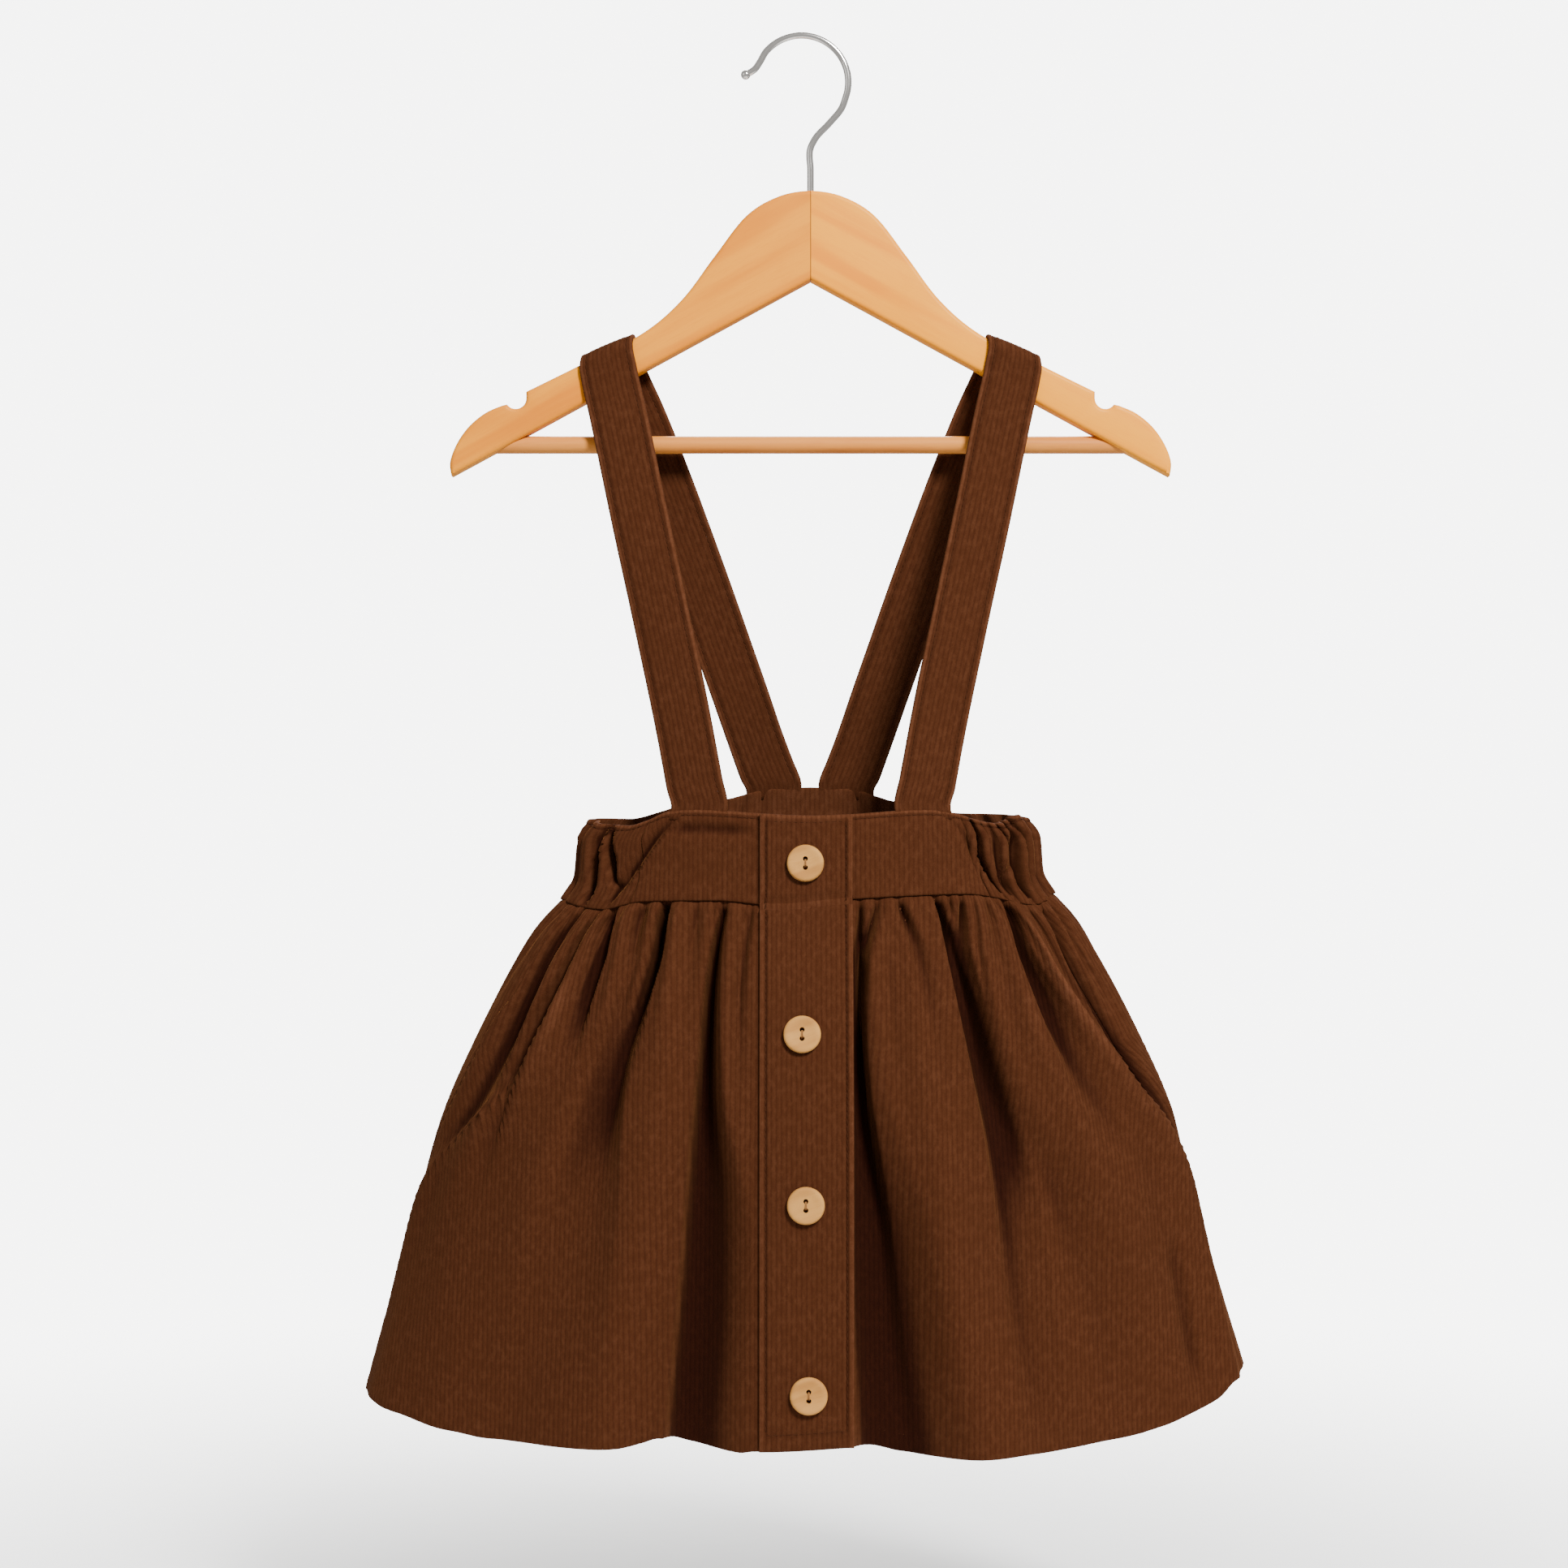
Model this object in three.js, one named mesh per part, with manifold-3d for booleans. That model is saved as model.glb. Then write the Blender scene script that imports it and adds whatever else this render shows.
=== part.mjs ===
// A child's corduroy suspender skirt hanging on a wooden hanger, in millimetres, +Z up.
// X runs to the viewer's right and Y to the back. The origin is the underside of the hook, where it hangs.
//
// The skirt and the waistband are thin walls on two surfaces of rings. A ring is half an ellipse in front
// and half a flatter one behind, and a "turn" in degrees says where on it a point lies: 0 is the middle of
// the front, 90 the right side and 180 the middle of the back. Folds and gathers move the wall along the
// ring's normal. The skirt keeps its cut length down every turn, so its hem rises where the cloth flares.
import * as THREE from "three";
import { mergeVertices } from "three/addons/utils/BufferGeometryUtils.js";
import Module from "manifold-3d";

const wasm = await Module();
wasm.setup();

// ---- Driving dimensions ----
const SEAM_GAP = 0.3; // between pieces that are sewn or fitted together
const MIDDLE = { x: 3.2, z: -1.1 }; // the point all but the hook is measured from: the hook hangs off its middle

const CLOTH = 1.2; // one layer of corduroy
const BAND_THICK = 2.2; // waistband: two layers
const STRAP_THICK = 2; // strap: a strip folded double
const STRIP_THICK = 1.8; // button strip

const SKIRT_LENGTH = 242; // cut length of the skirt below the waist seam
const BAND_HEIGHT = 40; // finished height of the waistband in front
const BAND_SEAM = 47; // turn of the seams between the front and the back waistband
const STRIP = { middle: -2.2, width: 41.6, lap: 3.6 }; // button strip, and how far it laps over each panel
const STRAP_WIDTH = 26;

const BUTTON = { radius: 8.75, thick: 3, dish: 0.5, edge: 0.7, hole: 0.9, holeApart: 4, sides: 20 };
const BUTTON_DOWN = [-17.6, 60.5, 135, 218]; // button centres, measured down the cloth from the waist seam
const BUTTON_OFF = [0.3, -1.2, 0.3, 1.4]; // and sideways from the middle of the button strip

const HANGER_THICK = 12;
const HANGER_EDGE = 2; // rounding of the wood's edges
const CROWN_Z = -69; // top of the wooden hanger
const ARM_UNDER = { drop: 40.8, slope: 0.5455 }; // the straight lower edge, below the crown
const BAR = { radius: 4, z: -184.5, half: 150 };
const WIRE_RADIUS = 1.55;
const SOCKET_FIT = 0.35; // between the wood and the round bar or wire in it
const STEM_DEPTH = 24; // how far the hook's stem goes into the crown

// Rings of the waistband: share is 0 at its top edge and 1 at the waist seam.
const BAND_RINGS = [
  { share: 0, halfWidth: 98, front: 29, back: 26 },
  { share: 0.25, halfWidth: 103.5, front: 30, back: 27 },
  { share: 0.75, halfWidth: 105.5, front: 31.5, back: 28 },
  { share: 1, halfWidth: 112, front: 33, back: 29 },
];

// Rings of the skirt: down is measured along the cloth from the waist seam.
const SKIRT_RINGS = [
  { down: 0, halfWidth: 113, front: 33, back: 29 },
  { down: 17, halfWidth: 124, front: 39, back: 34 },
  { down: 34, halfWidth: 133, front: 45, back: 38 },
  { down: 67, halfWidth: 148, front: 53, back: 43 },
  { down: 116, halfWidth: 167, front: 60, back: 48 },
  { down: 178, halfWidth: 183.5, front: 63, back: 51 },
  { down: SKIRT_LENGTH, halfWidth: 201, front: 65, back: 53 },
];

// Heights of the waistband's top edge and of the waist seam round the ring.
const BAND_TOP = [
  { turn: -180, z: -340.8 },
  { turn: -170, z: -341.4 },
  { turn: -157, z: -346.3 },
  { turn: -134, z: -351.5 },
  { turn: -88, z: -355.5 },
  { turn: -60, z: -355 },
  { turn: -32, z: -350.8 },
  { turn: 0, z: -353.5 },
  { turn: 32, z: -350.8 },
  { turn: 60, z: -357 },
  { turn: 75, z: -353.2 },
  { turn: 92, z: -355 },
  { turn: 134, z: -351.5 },
  { turn: 157, z: -346.3 },
  { turn: 170, z: -341.4 },
  { turn: 180, z: -340.8 },
];
const WAIST_SEAM = [
  { turn: -180, z: -383 },
  { turn: -155, z: -385 },
  { turn: -80, z: -393.2 },
  { turn: -57, z: -396 },
  { turn: -42, z: -393 },
  { turn: -8, z: -394.3 },
  { turn: 8, z: -391 },
  { turn: 38, z: -388.8 },
  { turn: 66, z: -394 },
  { turn: 88, z: -389.5 },
  { turn: 155, z: -385 },
  { turn: 180, z: -383 },
];

// How much higher than its cut length gives the hem hangs, round the ring.
const HEM_RISE = [
  { turn: -180, rise: 0 },
  { turn: -140, rise: 0 },
  { turn: -90, rise: -1.5 },
  { turn: -60, rise: -2.5 },
  { turn: -45, rise: -6.3 },
  { turn: -37, rise: -4.5 },
  { turn: -23, rise: -1.2 },
  { turn: -16, rise: -3 },
  { turn: -9, rise: 0 },
  { turn: 4, rise: 0 },
  { turn: 10, rise: -5.5 },
  { turn: 21, rise: -6 },
  { turn: 32, rise: -11 },
  { turn: 43, rise: -9 },
  { turn: 53, rise: -4.6 },
  { turn: 66, rise: 4 },
  { turn: 78, rise: 11 },
  { turn: 95, rise: 10 },
  { turn: 140, rise: 0 },
  { turn: 180, rise: 0 },
];
const LOBE_SAG = 0.25; // how far a lobe's hem hangs lower, for each millimetre that it stands out

// The side seams start in front of the sides at the waist and reach them lower down.
const SIDE_SEAM = [
  { down: 0, turn: 67 },
  { down: 60, turn: 71 },
  { down: 105, turn: 86 },
  { down: SKIRT_LENGTH, turn: 92 },
];

// Folds of the skirt. turn and deep are given at the FOLD_STATIONS down the cloth. A positive depth is
// a trough and a negative one a lobe. left and right are the widths of its two flanks, at the waist and
// at the hem, so a narrow flank is the steep side.
const FOLD_STATIONS = [0, 60, 125, SKIRT_LENGTH];
const SKIRT_FOLDS = [
  // left front panel
  { turn: [-17.2, -15.6, -15.5, -17], deep: [2, 9, 12, 11], left: [5, 20], right: [9, 28] },
  { turn: [-27, -26, -26, -28], deep: [-1, -3, -5, -9], left: [12, 50], right: [10, 32] },
  { turn: [-35.5, -32.5, -34, -35], deep: [3, 6, 1, 0], left: [7, 16], right: [7, 16] },
  { turn: [-49, -53.5, -75, -84], deep: [-1, -4, -6, -2], left: [6, 14], right: [10, 40] },
  { turn: [-53.5, -55, -56, -57], deep: [3, 2, 0, 0], left: [5, 12], right: [5, 12] },
  { turn: [-60, -60.5, -62, -62], deep: [-1.5, -3, 0, 0], left: [5, 10], right: [5, 10] },
  { turn: [-66, -66.5, -68, -70], deep: [3, 5, 1, 0], left: [5, 12], right: [5, 12] },
  // right front panel
  { turn: [11.6, 9.9, 9.4, 9.2], deep: [1.5, 5, 8, 7], left: [3.5, 12], right: [4, 16] },
  { turn: [19, 18.5, 18, 21], deep: [-2, -5, -6, -11], left: [10, 26], right: [12, 40] },
  { turn: [33, 29.5, 30.5, 43], deep: [3, 10, 13, 1], left: [6, 22], right: [9, 45] },
  { turn: [42.5, 45.5, 51, 55], deep: [-2, -3, -2, 0], left: [6, 18], right: [6, 18] },
  { turn: [54, 52.5, 55, 58], deep: [3, 4, 0, 0], left: [5, 12], right: [6, 14] },
  { turn: [60.6, 62.5, 76, 73], deep: [-2, -5, -6, -2], left: [6, 24], right: [5, 16] },
  { turn: [90, 90, 92, 92], deep: [0, 0, 2, 5], left: [10, 40], right: [10, 50] },
  // back panel
  { turn: [98, 102, 104, 104], deep: [2, 4, 5, 3], left: [7, 24], right: [7, 24] },
  { turn: [127, 129, 131, 133], deep: [3, 6, 9, 10], left: [10, 26], right: [7, 22] },
  { turn: [148, 148, 149, 151], deep: [-1, -3, -5, -8], left: [9, 26], right: [10, 32] },
  { turn: [163, 164, 165, 166], deep: [3, 7, 9, 8], left: [6, 18], right: [9, 26] },
  { turn: [187, 188, 188, 187], deep: [2, 5, 4, 0], left: [7, 18], right: [7, 18] },
  { turn: [203, 205, 206, 207], deep: [3, 7, 11, 11], left: [9, 28], right: [6, 20] },
  { turn: [220, 221, 221, 222], deep: [-1, -3, -5, -8], left: [9, 30], right: [9, 24] },
  { turn: [238, 238, 237, 237], deep: [3, 6, 7, 5], left: [8, 24], right: [8, 24] },
  { turn: [262, 260, 259, 257], deep: [2, 4, 5, 4], left: [7, 22], right: [7, 22] },
];

// Folds that the elastic draws up in the front of the waistband, at its top edge and at the waist seam.
const BAND_FOLDS = [
  { turn: [-69.8, -62.5], deep: [2.4, 2.4], left: [4.5, 4.5], right: [4.5, 4.5] },
  { turn: [-59.5, -56], deep: [2.2, 0.6], left: [4.5, 4.5], right: [4.5, 4.5] },
  { turn: [-39.5, -51.5], deep: [2, 2.2], left: [5, 5], right: [7, 7] },
  { turn: [48.5, 50.6], deep: [2.4, 2.6], left: [5.5, 5.5], right: [5, 5] },
  { turn: [56, 55.5], deep: [1.8, 1.2], left: [4, 4], right: [4, 4] },
  { turn: [64, 63.5], deep: [0.6, 2.6], left: [4.5, 4.5], right: [4.5, 4.5] },
  { turn: [71.5, 68], deep: [1.6, 1], left: [4, 4], right: [4, 4] },
];

// Fine gathers: GATHERS run out of the waist seam, ELASTIC ones fill the sides and back of the waistband.
// The spacing of each wave drifts, and its depth swells, so that no two gathers are alike.
const GATHERS = { wave: 10.5, drift: 47, deep: 1.4, fade: 30 };
const ELASTIC = { wave: 11, drift: 60, deep: 1.1, from: 74, to: 150, blend: 8 };
const UNEVEN = { shift: 1.2, swell: 0.25, swellDrift: 1.7 };
const STRIP_CLEAR = [2, 12]; // the gathers grow between these distances outside the button strip

// Sections of the right strap's middle line, measured from MIDDLE. tilt and plan turn its width out of the
// X axis, downwards and backwards. The left strap is its mirror image.
const STRAP_END = { frontX: 50.2, backX: 16.7, lift: 0.6 }; // lift is above the waistband's curved top edge
const STRAP_BACK = [
  { x: 20, y: 25.2, z: -333, tilt: 20, plan: -2.6 },
  { x: 34.5, y: 21.6, z: -292, tilt: 20, plan: -2 },
  { x: 52.5, y: 17, z: -241, tilt: 20, plan: -1 },
  { x: 70.4, y: 11.6, z: -193, tilt: 20.5, plan: 0 },
  { x: 80.2, y: 9.2, z: -169, tilt: 21, plan: 0 },
  { x: 87.6, y: 8, z: -153, tilt: 21.5, plan: 0 },
];
const STRAP_FOLD = { top: -139.4, radius: 4.1, frontX: 93, backX: 91.6, tilt: 21.7, steps: 3 };
const STRAP_FRONT = [
  { x: 91.6, y: -8, z: -153, tilt: 14, plan: 0 },
  { x: 88, y: -9.3, z: -169, tilt: 12, plan: 1 },
  { x: 78.9, y: -13, z: -212, tilt: 12, plan: 3 },
  { x: 68.1, y: -17.2, z: -262, tilt: 12, plan: 6 },
  { x: 58.8, y: -20.9, z: -306, tilt: 11.7, plan: 8.5 },
  { x: 52.4, y: -23.6, z: -339, tilt: 11, plan: 10 },
];

// Upper outline of the right arm: x from the crown's middle, and the drop below the crown.
const ARM_TOP = [
  { x: -12, drop: 1.7 },
  { x: 0, drop: 0 },
  { x: 14.5, drop: 2.6 },
  { x: 29.3, drop: 11.5 },
  { x: 44.1, drop: 30.4 },
  { x: 59, drop: 50.1 },
  { x: 77.5, drop: 65.6 },
  { x: 107, drop: 80.5 },
  { x: 129.5, drop: 91.6 },
];
const NOTCH = { x: 134.3, drop: 94.6, radius: 4.8, lipAngle: -35 };
const ARM_END = [
  { x: 140.5, drop: 97.9 },
  { x: 148, drop: 101.2 },
  { x: 155.4, drop: 107.2 },
  { x: 161, drop: 115 },
  { x: 164.2, drop: 123.5 },
  { x: 163.6, drop: 130 },
];

// The hook's middle line from its tip: points before and after the arc on which it hangs.
const HOOK_ARC = { x: -0.9, radius: 21.35, from: 140, to: -20, step: 16 };
const HOOK_TIP = [
  { x: -26.4, z: -16.5 },
  { x: -22.3, z: -14 },
  { x: -19.7, z: -10.3 },
];
const HOOK_NECK = [
  { x: 17.7, z: -31.2 },
  { x: 12, z: -38.4 },
  { x: 5, z: -46.2 },
  { x: MIDDLE.x, z: -50 },
];
const HOOK_BALL = 2.2;

// ---- Materials and groups ----
const corduroy = new THREE.MeshStandardMaterial({ color: 0x5a3018, roughness: 0.95, metalness: 0 });
const beech = new THREE.MeshStandardMaterial({ color: 0xe0a870, roughness: 0.45, metalness: 0 });
const buttonWood = new THREE.MeshStandardMaterial({ color: 0xd2ac7c, roughness: 0.7, metalness: 0 });
const steel = new THREE.MeshStandardMaterial({ color: 0xc8c8c8, roughness: 0.2, metalness: 1 });

const root = new THREE.Group();
const centred = new THREE.Group();
centred.position.set(MIDDLE.x, 0, MIDDLE.z);
root.add(centred);

function addMesh(group, name, geometry, finish) {
  const mesh = new THREE.Mesh(geometry, finish);
  mesh.name = name;
  group.add(mesh);
  return mesh;
}

// ---- Interpolation ----
const rad = THREE.MathUtils.degToRad;
const deg = THREE.MathUtils.radToDeg;
const mix = THREE.MathUtils.lerp;
const smooth = (value) => THREE.MathUtils.smoothstep(value, 0, 1);

// Monotone cubic through a table's rows, so a smooth curve never overshoots them.
function along(table, key, value, at) {
  const last = table.length - 1;
  const x = THREE.MathUtils.clamp(at, table[0][key], table[last][key]);
  let i = 0;
  while (i < last - 1 && table[i + 1][key] <= x) i++;
  const slope = (k) => (table[k + 1][value] - table[k][value]) / (table[k + 1][key] - table[k][key]);
  const tangent = (k) => {
    if (k === 0 || k === last) return slope(Math.min(k, last - 1));
    const [before, after] = [slope(k - 1), slope(k)];
    return before * after <= 0 ? 0 : (2 * before * after) / (before + after);
  };
  const step = table[i + 1][key] - table[i][key];
  const t = (x - table[i][key]) / step;
  const level = mix(table[i][value], table[i + 1][value], smooth(t));
  return level + step * ((t ** 3 - 2 * t ** 2 + t) * tangent(i) + (t ** 3 - t ** 2) * tangent(i + 1));
}

// A value listed at each station, eased from one station to the next.
function atStation(stations, values, at) {
  let i = 0;
  while (i < stations.length - 2 && at > stations[i + 1]) i++;
  return mix(values[i], values[i + 1], smooth((at - stations[i]) / (stations[i + 1] - stations[i])));
}

// ---- The ring surfaces ----
function ringFrom(table, key, at) {
  const value = (name) => along(table, key, name, at);
  return { halfWidth: value("halfWidth"), front: value("front"), back: value("back") };
}

// A point on a ring, its outward normal, and the distance round the ring that one degree of turn makes.
function onRing(ring, turn) {
  const [sine, cosine] = [Math.sin(rad(turn)), Math.cos(rad(turn))];
  const depth = cosine > 0 ? ring.front : ring.back;
  const speed = Math.hypot(ring.halfWidth * cosine, depth * sine);
  return {
    x: ring.halfWidth * sine,
    y: -depth * cosine,
    normal: { x: (depth * sine) / speed, y: (-ring.halfWidth * cosine) / speed },
    perDegree: rad(speed),
  };
}

// Distance round the waist from the middle of the front to each whole degree of turn, and back again.
const WAIST_ARC = [0];
for (let turn = 0; turn < 180; turn++) {
  WAIST_ARC.push(WAIST_ARC[turn] + onRing(SKIRT_RINGS[0], turn + 0.5).perDegree);
}
function waistArc(turn) {
  const size = Math.abs(turn);
  if (size > 180) return Math.sign(turn) * (2 * WAIST_ARC[180] - Math.abs(waistArc(360 - size)));
  const whole = Math.min(179, Math.floor(size));
  return Math.sign(turn) * mix(WAIST_ARC[whole], WAIST_ARC[whole + 1], size - whole);
}
function turnAtArc(arc) {
  const size = Math.abs(arc);
  if (size > WAIST_ARC[180]) return Math.sign(arc) * (360 - turnAtArc(2 * WAIST_ARC[180] - size));
  let turn = 0;
  while (turn < 179 && WAIST_ARC[turn + 1] < size) turn++;
  return Math.sign(arc) * (turn + (size - WAIST_ARC[turn]) / (WAIST_ARC[turn + 1] - WAIST_ARC[turn]));
}
const signedTurn = (turn) => (turn > 180 ? turn - 360 : turn);

// An uneven wave round the waist, from -1 to 1.
function unevenWave(turn, { wave, drift }) {
  const arc = (2 * Math.PI * waistArc(signedTurn(turn))) / drift;
  const swell = 1 - UNEVEN.swell + UNEVEN.swell * Math.sin(arc / UNEVEN.swellDrift);
  return Math.cos((arc * drift) / wave + UNEVEN.shift * Math.sin(arc)) * swell;
}

function foldHeight(folds, stations, turn, at, perDegree) {
  const share = at / stations[stations.length - 1];
  let height = 0;
  for (const fold of folds) {
    const away = ((turn - atStation(stations, fold.turn, at) + 540) % 360) - 180;
    const flank = away < 0 ? fold.left : fold.right;
    const reach = Math.abs(away) * perDegree / mix(flank[0], flank[1], share);
    height -= atStation(stations, fold.deep, at) * smooth(1 - reach);
  }
  return height;
}

// 0 on the button strip and 1 well away from it, because the strip stays flat.
function offStrip(point) {
  if (point.y > 0) return 1;
  const outside = Math.abs(point.x - STRIP.middle) - STRIP.width / 2;
  return THREE.MathUtils.smoothstep(outside, ...STRIP_CLEAR);
}

// How far gathers and folds move the skirt's cloth out of its ring.
function skirtRelief(turn, down, at) {
  const gather = GATHERS.deep * Math.exp(-((down / GATHERS.fade) ** 2)) * offStrip(at);
  const folds = foldHeight(SKIRT_FOLDS, FOLD_STATIONS, turn, down, at.perDegree);
  return gather * unevenWave(turn, GATHERS) + folds;
}

// The ring's height at each step down the cloth, found from its cut length and kept for each turn.
const DOWN_STEP = SKIRT_LENGTH / 40;
const ringHeights = new Map();
function ringHeight(turn, down) {
  const key = turn.toFixed(4);
  if (!ringHeights.has(key)) {
    const heights = [along(WAIST_SEAM, "turn", "z", signedTurn(turn)) - SEAM_GAP];
    let before = onRing(SKIRT_RINGS[0], turn);
    for (let i = 1; i * DOWN_STEP < SKIRT_LENGTH + 2 * DOWN_STEP; i++) {
      const after = onRing(ringFrom(SKIRT_RINGS, "down", i * DOWN_STEP), turn);
      const sideways = Math.hypot(after.x - before.x, after.y - before.y);
      heights.push(heights[i - 1] - Math.sqrt(DOWN_STEP ** 2 - sideways ** 2));
      before = after;
    }
    ringHeights.set(key, heights);
  }
  const heights = ringHeights.get(key);
  const at = Math.max(0, down) / DOWN_STEP;
  return mix(heights[Math.floor(at)], heights[Math.floor(at) + 1], at % 1);
}

// The point of a ring's surface at a height z, moved out along the ring's normal.
function movedOut(at, out, z) {
  return new THREE.Vector3(at.x + out * at.normal.x, at.y + out * at.normal.y, z);
}

function skirtPoint(turn, down) {
  const at = onRing(ringFrom(SKIRT_RINGS, "down", down), turn);
  const relief = skirtRelief(turn, down, at);
  const share = smooth(down / SKIRT_LENGTH);
  const rise = share * (along(HEM_RISE, "turn", "rise", signedTurn(turn)) - LOBE_SAG * relief);
  return movedOut(at, relief, ringHeight(turn, down) + rise);
}

function elasticHeight(turn) {
  const { from, to, blend, deep } = ELASTIC;
  const size = Math.abs(signedTurn(turn));
  return deep * smooth((size - from) / blend) * smooth((to - size) / blend) * unevenWave(turn, ELASTIC);
}

function bandPoint(turn, share) {
  const at = onRing(ringFrom(BAND_RINGS, "share", share), turn);
  const height = elasticHeight(turn) + foldHeight(BAND_FOLDS, [0, 1], turn, share, at.perDegree);
  const [top, seam] = [BAND_TOP, WAIST_SEAM].map((table) => along(table, "turn", "z", signedTurn(turn)));
  return movedOut(at, height, mix(top, seam, share));
}

// The front surface at a given x, from the waistband's top edge (a negative down) to the hem.
function frontPoint(x, down) {
  if (down < 0) {
    const share = 1 + down / BAND_HEIGHT;
    return bandPoint(bandTurn(x, share), share);
  }
  return skirtPoint(skirtTurn(x, down), down);
}
function bandTurn(x, share) {
  return deg(Math.asin(x / along(BAND_RINGS, "share", "halfWidth", share)));
}
function skirtTurn(x, down) {
  return deg(Math.asin(x / along(SKIRT_RINGS, "down", "halfWidth", down)));
}

// A surface's outward normal, from its differences across and downwards. A level one lies in plan.
const NEAR = { across: 0.4, down: 0.5, share: 0.02 };
function normalOf(surface, across, down, downStep, level) {
  const right = surface(across + NEAR.across, down).sub(surface(across - NEAR.across, down));
  const below = surface(across, down + downStep).sub(surface(across, down - downStep));
  const normal = below.cross(right);
  if (level) normal.z = 0;
  return normal.normalize();
}

// ---- Walls ----
// A closed wall from a grid of points: at(i, j, side), side 1 outside and -1 inside. In front, i runs to
// the viewer's right and j downwards.
function wallGeometry(columns, rows, at) {
  const points = [];
  for (const side of [1, -1])
    for (let i = 0; i <= columns; i++)
      for (let j = 0; j <= rows; j++) points.push(...at(i, j, side).toArray());
  const index = (i, j, side) => (side > 0 ? i : columns + 1 + i) * (rows + 1) + j;
  const faces = [];
  const quad = (a, b, c, d) => faces.push(a, b, c, a, c, d);
  for (let i = 0; i < columns; i++) {
    for (let j = 0; j < rows; j++) {
      quad(index(i, j, 1), index(i, j + 1, 1), index(i + 1, j + 1, 1), index(i + 1, j, 1));
      quad(index(i, j, -1), index(i + 1, j, -1), index(i + 1, j + 1, -1), index(i, j + 1, -1));
    }
    quad(index(i, 0, -1), index(i, 0, 1), index(i + 1, 0, 1), index(i + 1, 0, -1));
    quad(index(i, rows, 1), index(i, rows, -1), index(i + 1, rows, -1), index(i + 1, rows, 1));
  }
  for (let j = 0; j < rows; j++) {
    quad(index(0, j, 1), index(0, j, -1), index(0, j + 1, -1), index(0, j + 1, 1));
    quad(index(columns, j, -1), index(columns, j, 1), index(columns, j + 1, 1), index(columns, j + 1, -1));
  }
  const geometry = new THREE.BufferGeometry();
  geometry.setAttribute("position", new THREE.Float32BufferAttribute(points, 3));
  geometry.setIndex(faces);
  return geometry;
}

// Rows down the skirt: close together at the gathers, wider apart towards the hem.
const SKIRT_ROWS = [0, 7, 18, 36, 62, 96, 140, 190, SKIRT_LENGTH];
const STRIP_EDGE = { left: STRIP.middle - STRIP.width / 2, right: STRIP.middle + STRIP.width / 2 };
const PANEL_EDGE = { left: STRIP_EDGE.left + STRIP.lap, right: STRIP_EDGE.right - STRIP.lap };
const SIDE_GAP_TURN = 0.3; // half of a side seam's gap, as a turn
const COLUMNS = { frontPanel: 38, backPanel: 110, frontBand: 22, backBand: 120, strip: 6, underStrip: 4 };

// A skirt panel between two turns that may change down the cloth, its columns evenly spaced.
function addSkirtPanel(name, columns, fromTurn, toTurn) {
  const at = (i, j, side) => {
    const down = SKIRT_ROWS[j];
    const turn = turnAtArc(mix(waistArc(fromTurn(down)), waistArc(toTurn(down)), i / columns));
    const normal = normalOf(skirtPoint, turn, down, NEAR.down, j === 0);
    return skirtPoint(turn, down).addScaledVector(normal, (side * CLOTH) / 2);
  };
  addMesh(centred, name, wallGeometry(columns, SKIRT_ROWS.length - 1, at), corduroy);
}

function addSkirt() {
  const frontSide = (down) => along(SIDE_SEAM, "down", "turn", down) - SIDE_GAP_TURN;
  const backSide = (down) => frontSide(down) + 2 * SIDE_GAP_TURN;
  const leftEdge = (down) => skirtTurn(PANEL_EDGE.left, down);
  const rightEdge = (down) => skirtTurn(PANEL_EDGE.right, down);
  addSkirtPanel("skirt_front_left", COLUMNS.frontPanel, (down) => -frontSide(down), leftEdge);
  addSkirtPanel("skirt_front_right", COLUMNS.frontPanel, rightEdge, frontSide);
  addSkirtPanel("skirt_back", COLUMNS.backPanel, backSide, (down) => 360 - backSide(down));
}

// A piece of the waistband between two turns.
const BAND_ROWS = 3;
const BAND_GAP_TURN = 0.2; // half of the gap at the waistband's own seams, as a turn
function addBandPiece(name, columns, fromTurn, toTurn) {
  const at = (i, j, side) => {
    const share = j / BAND_ROWS;
    const turn = turnAtArc(mix(waistArc(fromTurn(share)), waistArc(toTurn(share)), i / columns));
    const normal = normalOf(bandPoint, turn, share, NEAR.share, true);
    return bandPoint(turn, share).addScaledVector(normal, (side * BAND_THICK) / 2);
  };
  addMesh(centred, name, wallGeometry(columns, BAND_ROWS, at), corduroy);
}

function addWaistband() {
  const frontEnd = BAND_SEAM - BAND_GAP_TURN;
  const backEnd = BAND_SEAM + BAND_GAP_TURN;
  const leftEdge = (share) => bandTurn(PANEL_EDGE.left, share);
  const rightEdge = (share) => bandTurn(PANEL_EDGE.right, share);
  addBandPiece("waistband_front_left", COLUMNS.frontBand, () => -frontEnd, leftEdge);
  addBandPiece("waistband_front_right", COLUMNS.frontBand, rightEdge, () => frontEnd);
  addBandPiece("waistband_back", COLUMNS.backBand, () => backEnd, () => 360 - backEnd);
}

// A strip down the middle of the front, from the top edge to the hem: lift(down) is how far its middle
// layer stands out from the front surface.
const STRIP_ROWS = [-BAND_HEIGHT, -26, -12, 0, 8, 20, 40, 65, 95, 130, 168, 206, SKIRT_LENGTH];
const STRIP_BLEND = 12; // the strip comes down off the thicker waistband within this length
function stripFrame(x, down) {
  return { point: frontPoint(x, down), normal: normalOf(frontPoint, x, down, NEAR.down, false) };
}
function addStrip(name, columns, fromX, toX, thick, lift) {
  const at = (i, j, side) => {
    const down = STRIP_ROWS[j];
    const { point, normal } = stripFrame(mix(fromX, toX, i / columns), down);
    return point.addScaledVector(normal, lift(down) + (side * thick) / 2);
  };
  addMesh(centred, name, wallGeometry(columns, STRIP_ROWS.length - 1, at), corduroy);
}

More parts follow.
